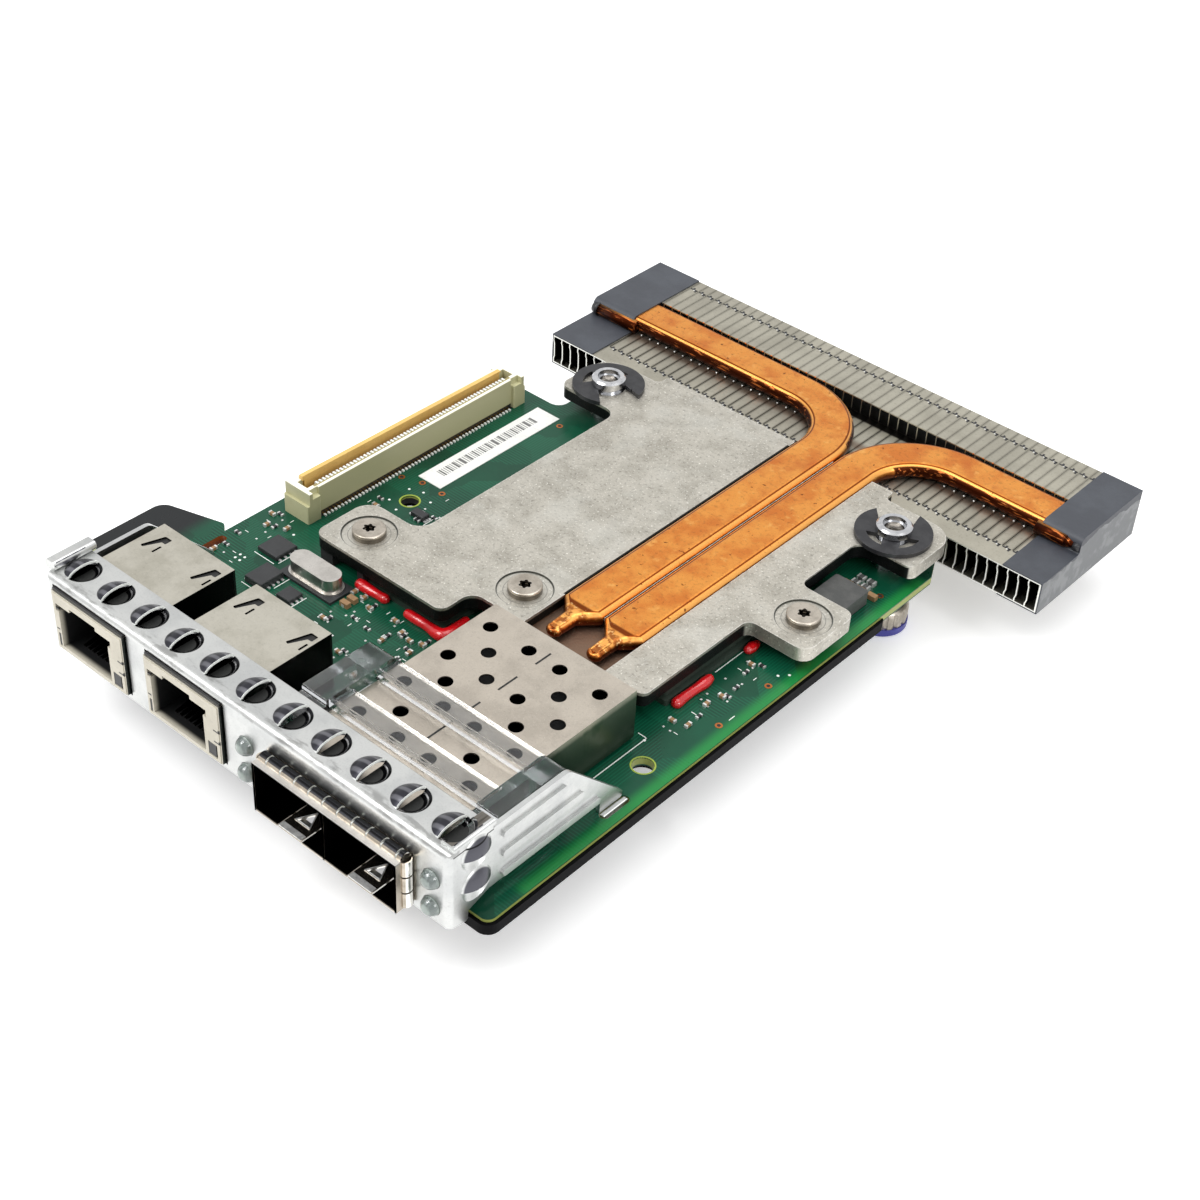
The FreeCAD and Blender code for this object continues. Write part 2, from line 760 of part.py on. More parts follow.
def heatsink_plate():
    """Machined plate with lobes for three screws, two lugs for the sleeves and the heat-pipe grooves."""
    outline = [
        (lobe_left, plate_front_left, 2.0),
        (plate_step, plate_front_left, 1.8),
        (plate_step, plate_front, 2.4),
        (plate_right, plate_front, 1.5),
        (plate_right, lobe_right_front, 1.6),
        (lobe_right, lobe_right_front, 2.4),
        (lobe_right, lobe_right_rear, 2.0),
        (plate_right + 0.4, lobe_right_rear, 1.6),
        (plate_right + 0.4, lug_front, 2.5),
        (lug_right, lug_front, 1.8),
        (lug_right, lug_rear, 4.5),
        (plate_right - 3.5, lug_rear, 1.2),
        (plate_right - 3.5, plate_rear, 0.6),
        (plate_left - 1.0, plate_rear, 0.6),
        (plate_left - 1.0, lug_rear, 1.2),
        (lug_left, lug_rear, 4.5),
        (lug_left, lug_front, 1.8),
        (plate_left, lug_front, 2.5),
        (plate_left, lobe_left_rear, 3.0),
        (lobe_left, lobe_left_rear, 3.4),
    ]
    plate = slab(outline, plate_bottom, plate_top)
    plate = plate.cut(block(-10, 100, stack_front - 0.1, plate_rear + 1, plate_bottom - 1, strip_top))
    half = pipe_width / 2 + pipe_fit
    for x in (pipe_left_x, pipe_right_x):
        plate = plate.cut(block(x - half, x + half, pipe_start, plate_rear + 1, pipe_bottom, plate_top + 1))
    plate = plate.cut(block(pipe_left_x - half, pipe_right_x + half, plate_front - 1, pipe_start + 0.1,
                            pipe_bottom, plate_top + 1))
    for x, y in screw_places:
        plate = plate.cut(post(x, y, spot_radius, plate_top - spot_depth, plate_top + 1))
        plate = plate.cut(post(x, y, screw_radius + shank_fit, plate_bottom - 1, plate_top))
    for x in captive_xs:
        plate = plate.cut(post(x, captive_y, sleeve_radius + sleeve_fit, plate_bottom - 1, plate_top + 1))
    return plate


def pipe_section(width, thickness, x, y):
    """Flattened round section, upright in x and z."""
    edge = thickness / 2 * 0.96
    low = pipe_bottom + (pipe_thickness - thickness) / 2
    corners = corners_of(x - width / 2, x + width / 2, low, low + thickness, edge)
    return rounded_wire(corners, front(y))


def heat_pipe(x, outward, end_x):
    """Flattened pipe: crimped tip, straight run in its groove, one bend, then a run along the fins."""
    bend_y = pipe_row_y - pipe_bend
    middle = pipe_bottom + pipe_thickness / 2
    centre = vec(x + outward * pipe_bend, bend_y, middle)
    corner = math.sqrt(0.5) * pipe_bend
    arc = Part.Arc(vec(x, bend_y, middle), centre + vec(-outward * corner, corner, 0),
                   centre + vec(0, pipe_bend, 0))
    path = Part.Wire([Part.makeLine(vec(x, pipe_start, middle), vec(x, bend_y, middle)), arc.toShape(),
                      Part.makeLine(centre + vec(0, pipe_bend, 0), vec(end_x, pipe_row_y, middle))])
    body = path.makePipeShell([pipe_section(pipe_width, pipe_thickness, x, pipe_start)], True, False)
    neck_y = pipe_start - neck_length
    wide = pipe_section(pipe_width, pipe_thickness, x, pipe_start)
    waist = pipe_section(tip_width, pipe_thickness * 0.8, x, neck_y)
    end = pipe_section(tip_width * 0.9, pipe_thickness * 0.6, x, neck_y - tip_length)
    neck = Part.makeLoft([wide, waist], True, True)
    nub = Part.makeLoft([waist, end], True, True)
    return body.fuse([neck, nub]).removeSplitter()


def stack_profile(grow, front_grow):
    """Stepped fin outline in y and z, grown outwards by grow."""
    return [
        (stack_front - front_grow, stack_bottom - grow, 0),
        (stack_rear + front_grow, stack_bottom - grow, 0),
        (stack_rear + front_grow, pipe_top + grow, 0),
        (stack_step - grow, pipe_top + grow, 0),
        (stack_step - grow, strip_top + grow, 0),
        (stack_front - front_grow, strip_top + grow, 0),
    ]


def fin_stack():
    """Zipped fins: thin walls with folded top and bottom edges, open front to rear."""
    stack = cheek(stack_profile(0, 0), stack_left, stack_right)
    cells = []
    for k in range(fin_cells):
        low = stack_left + fin_skin + k * stack_pitch
        cells.append(cheek(stack_profile(-fin_skin, 1.0), low, low + stack_pitch - fin_skin))
    return stack.cut(Part.makeCompound(cells))


def fin_tape(outer_x, inner_x):
    """Adhesive tape round one end of the stack, over the end of its heat pipe."""
    low, high = min(outer_x, inner_x), max(outer_x, inner_x)
    over = pipe_top + tape_skin
    core_front = pipe_row_y - pipe_width / 2 - 0.12
    outline = [
        (stack_front, stack_bottom - tape_skin, 0),
        (stack_rear, stack_bottom - tape_skin, 0),
        (stack_rear, over, 0),
        (core_front - tape_skin, over, 1.4),
        (core_front - tape_skin, strip_top + tape_skin, 0.4),
        (stack_front, strip_top + tape_skin, 0),
    ]
    wrap = cheek(outline, low, high)
    outward = -1 if outer_x < inner_x else 1
    end = outer_x - outward * tape_skin
    core_low, core_high = (end, high + 1) if outward < 0 else (low - 1, end)
    core = cheek([
        (stack_front - 1, stack_bottom, 0),
        (stack_rear + 1, stack_bottom, 0),
        (stack_rear + 1, pipe_top, 0),
        (core_front, pipe_top, 1.2),
        (core_front, strip_top, 0),
        (stack_front - 1, strip_top, 0),
    ], core_low, core_high)
    return wrap.cut(core)


def lobe_recess(x, y, z_low, z_high):
    """Six-lobed driver recess."""
    recess = post(x, y, recess_radius, z_low, z_high)
    for k in range(6):
        turn = math.pi * k / 3
        reach = recess_radius * 0.95
        lobe_x, lobe_y = x + reach * math.cos(turn), y + reach * math.sin(turn)
        recess = recess.fuse(post(lobe_x, lobe_y, recess_radius * 0.36, z_low, z_high))
    return recess


def plate_screws():
    """Three low-head screws with six-lobed recesses."""
    screws = []
    seat = plate_top - spot_depth
    for x, y in screw_places:
        head = post(x, y, head_radius, seat, seat + head_height)
        head = head.makeFillet(0.3, upper_rims(head, seat + 0.5))
        shank = post(x, y, screw_radius, -board_thickness, seat)
        recess = lobe_recess(x, y, seat + head_height - 0.8, seat + head_height + 1)
        screws.append(head.fuse(shank).cut(recess))
    return Part.makeCompound(screws)


def plate_posts():
    """Spacers that hold the plate above the board."""
    posts = []
    for x, y in screw_places:
        spacer = post(x, y, post_radius, 0, plate_bottom)
        posts.append(spacer.cut(post(x, y, screw_radius + shank_fit, -1, plate_bottom + 1)))
    return Part.makeCompound(posts)


def package(left, low, size):
    """Chip package: substrate with a smaller lid."""
    base = slab(corners_of(left, left + size, low, low + size, 0.4), 0, package_height * 0.45)
    lid = 0.9
    cap = slab(corners_of(left + lid, left + size - lid, low + lid, low + size - lid, 0.6),
               package_height * 0.45, package_height)
    return base.fuse(cap)


def thermal_pad(left, low, size):
    edge = pad_inset
    return block(left + edge, left + size - edge, low + edge, low + size - edge,
                 package_height, plate_bottom)


def glue_bead(points):
    """Round bead of glue along a package edge, flat on the board."""
    beads = []
    for (x0, y0), (x1, y1) in zip(points, points[1:]):
        run = vec(x1 - x0, y1 - y0, 0)
        beads.append(Part.makeCylinder(glue_radius, run.Length, vec(x0, y0, glue_radius * 0.5), run))
    for x, y in points:
        beads.append(Part.makeSphere(glue_radius, vec(x, y, glue_radius * 0.5)))
    bead = beads[0].fuse(beads[1:])
    return bead.common(block(-20, 120, 0, 160, 0, 5))


def package_glue():
    """Corner beads against the two packages."""
    right = small_package_left + small_package + glue_radius
    front_edge = small_package_front - glue_radius
    large_edge = large_package_right + glue_radius
    routes = [
        [(small_package_left - 0.4, front_edge), (small_package_left - 0.4 + glue_short_run, front_edge)],
        [(right - glue_corner_run, front_edge), (right, front_edge), (right, front_edge + glue_corner_turn)],
    ]
    for start, run in ((glue_side_start, glue_side_run), (glue_drop_start, glue_drop_run)):
        low = large_package_front + start
        routes.append([(large_edge, low), (large_edge, low + run)])
    return Part.makeCompound([glue_bead(route) for route in routes])


def sleeve(x):
    """Guide sleeve through the lug and the board: flange below, clip groove above, stepped bore."""
    low = -board_thickness - sleeve_flange_height
    body = post(x, captive_y, sleeve_radius, -board_thickness, sleeve_top)
    body = body.makeChamfer(0.3, upper_rims(body, sleeve_top - 0.1))
    flange = post(x, captive_y, sleeve_flange_radius, low, -board_thickness)
    body = body.fuse(flange)
    groove = post(x, captive_y, sleeve_radius + 1, plate_top, plate_top + clip_thickness + 0.1)
    body = body.cut(groove.cut(post(x, captive_y, clip_neck, plate_top - 1, sleeve_top)))
    body = body.cut(post(x, captive_y, shank_radius + shank_fit, low - 1, sleeve_top + 1))
    mouth_low = sleeve_top - sleeve_mouth_depth
    return body.cut(post(x, captive_y, sleeve_mouth_radius, mouth_low, sleeve_top + 1))


def retaining_clip(x, angle):
    """Open retaining ring with three inner teeth; angle is the way its mouth faces."""
    ring = Part.makeCylinder(clip_radius, clip_thickness)
    window = Part.makeCylinder(clip_radius - 1.9, clip_thickness + 2, vec(0, 0, -1))
    through = clip_thickness + 2
    far = clip_radius + 2
    mouth = slab([(0, -2.2, 0.4), (far, -4.6, 0), (far, 4.6, 0), (0, 2.2, 0.4)], -1, through)
    neck = Part.makeCylinder(clip_neck + 0.06, through, vec(0, 0, -1))
    jaws = slab(corners_of(-1.4, 3.2, -clip_radius, clip_radius, 0), -1, through)
    back = block(-clip_radius, 0, -1.5, 1.5, -1, clip_thickness + 1)
    windows = window.cut(jaws).cut(back)
    clip = ring.cut(windows).cut(neck).cut(mouth)
    clip.rotate(vec(0, 0, 0), vec(0, 0, 1), angle)
    clip.translate(vec(x, captive_y, plate_top))
    return clip


def captive_screw(x):
    """Turned screw: domed tip in the sleeve's mouth, long shank and a fluted knob under the board."""
    shank = post(x, captive_y, shank_radius, knob_top, shank_tip)
    shank = shank.makeFillet(1.1, upper_rims(shank, shank_tip - 0.1))
    knob = post(x, captive_y, knob_radius, knob_top - knob_height, knob_top)
    knob = knob.makeFillet(1.1, upper_rims(knob, knob_top - 0.1))
    flutes = []
    for k in range(knob_flutes):
        turn = 2 * math.pi * k / knob_flutes
        reach = knob_radius + 0.35
        flutes.append(post(x + reach * math.cos(turn), captive_y + reach * math.sin(turn), 0.6,
                           knob_top - knob_height - 1, knob_top + 1))
    return knob.cut(Part.makeCompound(flutes)).fuse(shank)


def screw_cap(x):
    """Coloured cap pressed under the knob, with a cross recess."""
    low = knob_top - knob_height - knob_cap_height
    cap = post(x, captive_y, knob_radius + 0.15, low, knob_top - knob_height)
    lower_rim = [edge for edge in cap.Edges if edge.Closed and edge.BoundBox.ZMax < low + 0.1]
    cap = cap.makeFillet(0.4, lower_rim)
    cross = block(x - 2.4, x + 2.4, captive_y - 0.5, captive_y + 0.5, low - 1, low + 0.9)
    bar = block(x - 0.5, x + 0.5, captive_y - 2.4, captive_y + 2.4, low - 1, low + 0.9)
    return cap.cut(cross).cut(bar)


def crystal_can():
    """Drawn oval can on its base flange."""
    half = crystal_length / 2
    wide = crystal_width / 2
    def oval(grow, z_low, z_high):
        edge = (wide + grow) * 0.98
        return slab([(crystal_x - half - grow, crystal_y - wide - grow, edge),
                     (crystal_x + half + grow, crystal_y - wide - grow, edge),
                     (crystal_x + half + grow, crystal_y + wide + grow, edge),
                     (crystal_x - half - grow, crystal_y + wide + grow, edge)], z_low, z_high)
    can = oval(-0.35, crystal_base + 0.4, crystal_height)
    return can.fuse(oval(0, crystal_base, crystal_base + 0.4))


def crystal_foot():
    """Black insulating base under the can."""
    half = crystal_length / 2 + 0.5
    wide = crystal_width / 2 + 0.4
    return block(crystal_x - half, crystal_x + half, crystal_y - wide, crystal_y + wide, 0, crystal_base)


def chip(x, y, length, width, height):
    """Small moulded chip with a bevelled top."""
    body = block(x - length / 2, x + length / 2, y - width / 2, y + width / 2, 0, height)
    return body.makeChamfer(0.12, [edge for edge in body.Edges if edge.BoundBox.ZMin > height - 0.01])


small_chips = [(6.4, 40.3, 4.6, 4.6, 0.9), (10.9, 33.4, 3.9, 4.9, 1.4), (17.2, 33.2, 3.0, 3.0, 0.9),
               (16.6, 63.4, 2.9, 1.6, 1.0)]


def board_chips():
    return Part.makeCompound([chip(*place) for place in small_chips])


def power_inductor():
    """Square moulded inductor on two end terminals."""
    half = inductor_side / 2
    body = slab([(inductor_x - half, inductor_y - half, 0.4), (inductor_x + half, inductor_y - half, 0.4),
                 (inductor_x + half, inductor_y + half, 0.4), (inductor_x - half, inductor_y + half, 0.4)],
                0.15, inductor_height)
    feet = [block(inductor_x - 1.4, inductor_x + 1.4, y, y + 0.9, 0, 0.15)
            for y in (inductor_y - half, inductor_y + half - 0.9)]
    return body.fuse(feet)


def capacitor_places():
    """Places and turns of the ceramic capacitors beside the inductor and the connectors."""
    beside_inductor = [(80.2 + k * 2.5, inductor_y + 5.0, 0) for k in range(3)]
    beside_jacks = [(22.0, 12.0 + k * 3.0, 90) for k in range(3)]
    by_crystal = [(25.2, 38.0 + k * 1.6, 0) for k in range(2)]
    return beside_inductor + beside_jacks + by_crystal


def chip_capacitors():
    blocks = []
    for x, y, turn in capacitor_places():
        length, width = (1.7, 1.0) if turn == 0 else (1.0, 1.7)
        blocks.append(block(x - length / 2, x + length / 2, y - width / 2, y + width / 2, 0, 0.9))
    return Part.makeCompound(blocks)


def board_label():
    right, rear = label_left + label_width, label_front + label_length
    return block(label_left, right, label_front, rear, 0, label_skin)


def build():
    os.makedirs("parts", exist_ok=True)
    large_left = large_package_right - large_package
    pieces = {
        "circuit_board": circuit_board(),
        "board_tray": board_tray(),
        "faceplate": faceplate(),
        "sfp_cage": sfp_cage(),
        "sfp_divider": sfp_divider(),
        "sfp_latch_tongues": latch_tongues(),
        "sfp_spring_fingers": spring_fingers(),
        "light_pipe": light_pipe(),
        "mezzanine_housing": mezz_housing(),
        "mezzanine_contacts": mezz_contacts(),
        "heatsink_plate": heatsink_plate(),
        "heat_pipe_left": heat_pipe(pipe_left_x, -1, stack_left + 1.6),
        "heat_pipe_right": heat_pipe(pipe_right_x, 1, stack_right - 0.1),
        "fin_stack": fin_stack(),
        "fin_tape_left": fin_tape(stack_left - tape_skin, stack_left + tape_left_reach),
        "fin_tape_right": fin_tape(stack_right + tape_skin, stack_right - tape_right_reach),
        "plate_screws": plate_screws(),
        "plate_posts": plate_posts(),
        "controller_package": package(large_left, large_package_front, large_package),
        "second_package": package(small_package_left, small_package_front, small_package),
        "controller_pad": thermal_pad(large_left, large_package_front, large_package),
        "second_pad": thermal_pad(small_package_left, small_package_front, small_package),
        "package_glue": package_glue(),
        "crystal_can": crystal_can(),
        "crystal_foot": crystal_foot(),
        "board_chips": board_chips(),
        "power_inductor": power_inductor(),
        "chip_capacitors": chip_capacitors(),
        "board_label": board_label(),
    }
    for word, x, port, screw, angle in zip(("left", "right"), jack_xs, port_xs, captive_xs,
                                           (clip_left_angle, clip_right_angle)):
        pieces["rj45_shield_" + word] = jack_shield(x)
        pieces["rj45_insert_" + word] = jack_insert(x)
        pieces["rj45_contacts_" + word] = jack_contacts(x)
        pieces["sfp_host_connector_" + word] = host_connector(port)
        pieces["screw_sleeve_" + word] = sleeve(screw)
        pieces["retaining_clip_" + word] = retaining_clip(screw, angle)
        pieces["captive_screw_" + word] = captive_screw(screw)
        pieces["screw_cap_" + word] = screw_cap(screw)
    for name, shape in pieces.items():
        save(name, shape)
        state = "valid" if shape.isValid() else "INVALID"
        print(name, len(shape.Solids), "solids", round(shape.Volume, 2), "mm3", state)


build()
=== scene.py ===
import bpy
import bmesh
import math
from mathutils import Matrix, Vector


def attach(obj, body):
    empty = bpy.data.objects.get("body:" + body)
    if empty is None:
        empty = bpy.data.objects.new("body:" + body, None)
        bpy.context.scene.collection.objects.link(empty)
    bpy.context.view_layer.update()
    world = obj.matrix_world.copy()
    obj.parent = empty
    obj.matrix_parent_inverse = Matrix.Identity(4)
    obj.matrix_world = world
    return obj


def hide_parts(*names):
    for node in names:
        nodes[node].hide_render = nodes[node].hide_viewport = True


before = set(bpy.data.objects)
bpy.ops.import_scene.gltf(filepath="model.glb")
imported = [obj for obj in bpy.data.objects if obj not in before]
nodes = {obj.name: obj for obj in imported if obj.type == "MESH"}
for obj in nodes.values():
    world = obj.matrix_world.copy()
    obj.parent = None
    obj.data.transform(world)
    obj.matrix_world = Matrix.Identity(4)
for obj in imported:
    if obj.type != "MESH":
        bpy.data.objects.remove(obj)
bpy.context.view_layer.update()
print("frame loaded:", len(nodes), "nodes")

mm = 0.001
datum = {"x": 84.0, "y": 43.2}  # the right-hand locating hole, in millimetres from the faceplate's corner


def place(x, y, z):
    # millimetres from the faceplate's front left corner become metres from the locating hole
    return Vector(((x - datum["x"]) * mm, (y - datum["y"]) * mm, z * mm))


def paint(red, green, blue):
    # screen values from 0 to 255 become the linear colour that the shaders take
    def linear(value):
        value = value / 255
        return value / 12.92 if value <= 0.04045 else ((value + 0.055) / 1.055) ** 2.4
    return (linear(red), linear(green), linear(blue), 1.0)


# nodes for shaders and makers

def addNode(tree, kind, settings=None, inputs=None):
    # settings are the node's own values, inputs are numbers, colours or sockets to link
    node = tree.nodes.new(kind)
    for name, value in (settings or {}).items():
        setattr(node, name, value)
    for key, value in (inputs or {}).items():
        if isinstance(value, bpy.types.NodeSocket):
            tree.links.new(value, node.inputs[key])
        else:
            node.inputs[key].default_value = value
    return node


def mathNode(tree, operation, first, second=0.0):
    return addNode(tree, "ShaderNodeMath", {"operation": operation}, {0: first, 1: second}).outputs[0]


def times(tree, first, *others):
    for other in others:
        first = mathNode(tree, "MULTIPLY", first, other)
    return first


def mixColour(tree, factor, first, second):
    return addNode(tree, "ShaderNodeMix", {"data_type": "RGBA"}, {0: factor, 6: first, 7: second}).outputs[2]


def mixNumber(tree, factor, first, second):
    return addNode(tree, "ShaderNodeMix", {"data_type": "FLOAT"}, {0: factor, 2: first, 3: second}).outputs[0]


def spread(tree, value, low, high, toLow=0.0, toHigh=1.0):
    # a soft step from toLow to toHigh while the value goes from low to high
    return addNode(tree, "ShaderNodeMapRange", {"interpolation_type": "SMOOTHSTEP"},
                   {0: value, 1: low, 2: high, 3: toLow, 4: toHigh}).outputs[0]


def band(tree, value, low, high, soft):
    # 1 between low and high, 0 outside
    above = spread(tree, value, low - soft, low + soft)
    return times(tree, above, spread(tree, value, high - soft, high + soft, 1.0, 0.0))


def noiseNode(tree, vector, scale, detail, rough=0.5):
    return addNode(tree, "ShaderNodeTexNoise", None,
                   {"Vector": vector, "Scale": scale, "Detail": detail, "Roughness": rough}).outputs[0]


def stretchNode(tree, vector, by):
    return addNode(tree, "ShaderNodeVectorMath", {"operation": "MULTIPLY"}, {0: vector, 1: by}).outputs[0]


def joinAxes(tree, x=0.0, y=0.0, z=0.0):
    return addNode(tree, "ShaderNodeCombineXYZ", None, {0: x, 1: y, 2: z}).outputs[0]


def axisValue(tree, vector, axis):
    return addNode(tree, "ShaderNodeSeparateXYZ", None, {0: vector}).outputs[axis]


def objectCoord(tree):
    return tree.nodes.new("ShaderNodeTexCoord").outputs["Object"]


# shader groups that the finishes share

def newGroup(name, inputs, outputs):
    tree = bpy.data.node_groups.new(name, "ShaderNodeTree")
    for label, kind, value in inputs:
        tree.interface.new_socket(label, in_out="INPUT", socket_type=kind).default_value = value
    for label, kind in outputs:
        tree.interface.new_socket(label, in_out="OUTPUT", socket_type=kind)
    return tree, tree.nodes.new("NodeGroupInput").outputs, tree.nodes.new("NodeGroupOutput").inputs


def useGroup(tree, group, values):
    return addNode(tree, "ShaderNodeGroup", {"node_tree": group}, values).outputs


def makeHandledSurface():
    # patches, dark specks and grain, each with its own size in metres
    tree, given, result = newGroup(
        "handledSurface",
        [("Colour", "NodeSocketColor", (0.5, 0.5, 0.5, 1)),
         ("Patch colour", "NodeSocketColor", (0.4, 0.4, 0.4, 1)),
         ("Patch size", "NodeSocketFloat", 0.01), ("Patch amount", "NodeSocketFloat", 0.3),
         ("Speck size", "NodeSocketFloat", 0.001), ("Speck amount", "NodeSocketFloat", 0.2),
         ("Smooth", "NodeSocketFloat", 0.3), ("Rough", "NodeSocketFloat", 0.5),
         ("Grain size", "NodeSocketFloat", 0.001), ("Stretch", "NodeSocketVector", (1, 1, 1))],
        [("Colour", "NodeSocketColor"), ("Roughness", "NodeSocketFloat"), ("Height", "NodeSocketFloat")])
    coord = objectCoord(tree)
    patch = noiseNode(tree, coord, mathNode(tree, "DIVIDE", 1.0, given["Patch size"]), 5.0, 0.62)
    speck = noiseNode(tree, coord, mathNode(tree, "DIVIDE", 1.0, given["Speck size"]), 2.0)
    grain = noiseNode(tree, stretchNode(tree, coord, given["Stretch"]),
                      mathNode(tree, "DIVIDE", 1.0, given["Grain size"]), 3.0, 0.55)
    patchMask = times(tree, spread(tree, patch, 0.38, 0.66), given["Patch amount"])
    speckMask = times(tree, spread(tree, speck, 0.52, 0.74), given["Speck amount"])
    mixed = mixColour(tree, patchMask, given["Colour"], given["Patch colour"])
    tree.links.new(mixColour(tree, speckMask, mixed, (0.02, 0.02, 0.02, 1)), result["Colour"])
    share = mathNode(tree, "ADD", times(tree, patch, 0.6), times(tree, grain, 0.4))
    tree.links.new(mixNumber(tree, share, given["Smooth"], given["Rough"]), result["Roughness"])
    tree.links.new(grain, result["Height"])
    return tree


def makeFineScratches():
    # hairline scratches in two crossing directions
    tree, given, result = newGroup(
        "fineScratches",
        [("Length", "NodeSocketFloat", 0.006), ("Width", "NodeSocketFloat", 0.0001),
         ("Amount", "NodeSocketFloat", 0.4)],
        [("Mask", "NodeSocketFloat")])
    coord = objectCoord(tree)
    along, across = (mathNode(tree, "DIVIDE", 1.0, given[label]) for label in ("Length", "Width"))
    masks = []
    for turn in ((0.3, 0.1, 0.5), (0.1, -0.4, -0.9)):
        turned = addNode(tree, "ShaderNodeMapping", None, {"Vector": coord, "Rotation": turn}).outputs[0]
        line = noiseNode(tree, stretchNode(tree, turned, joinAxes(tree, along, across, across)), 1.0, 1.0)
        masks.append(spread(tree, line, 0.66, 0.74))
    either = mathNode(tree, "MAXIMUM", masks[0], masks[1])
    tree.links.new(times(tree, either, given["Amount"]), result["Mask"])
    return tree


def makeEdgeRub():
    # broken bright band along sharp edges
    tree, given, result = newGroup(
        "edgeRub",
        [("Radius", "NodeSocketFloat", 0.0003), ("Amount", "NodeSocketFloat", 0.8),
         ("Break up", "NodeSocketFloat", 0.001)],
        [("Mask", "NodeSocketFloat")])
    rounded = addNode(tree, "ShaderNodeBevel", {"samples": 4}, {"Radius": given["Radius"]}).outputs[0]
    flat = tree.nodes.new("ShaderNodeNewGeometry").outputs["Normal"]
    likeness = addNode(tree, "ShaderNodeVectorMath", {"operation": "DOT_PRODUCT"}, {0: rounded, 1: flat})
    edge = spread(tree, likeness.outputs["Value"], 0.80, 0.985, 1.0, 0.0)
    noise = noiseNode(tree, objectCoord(tree), mathNode(tree, "DIVIDE", 1.0, given["Break up"]), 3.0)
    tree.links.new(times(tree, edge, spread(tree, noise, 0.35, 0.6), given["Amount"]), result["Mask"])
    return tree


handledSurface = makeHandledSurface()
fineScratches = makeFineScratches()
edgeRub = makeEdgeRub()

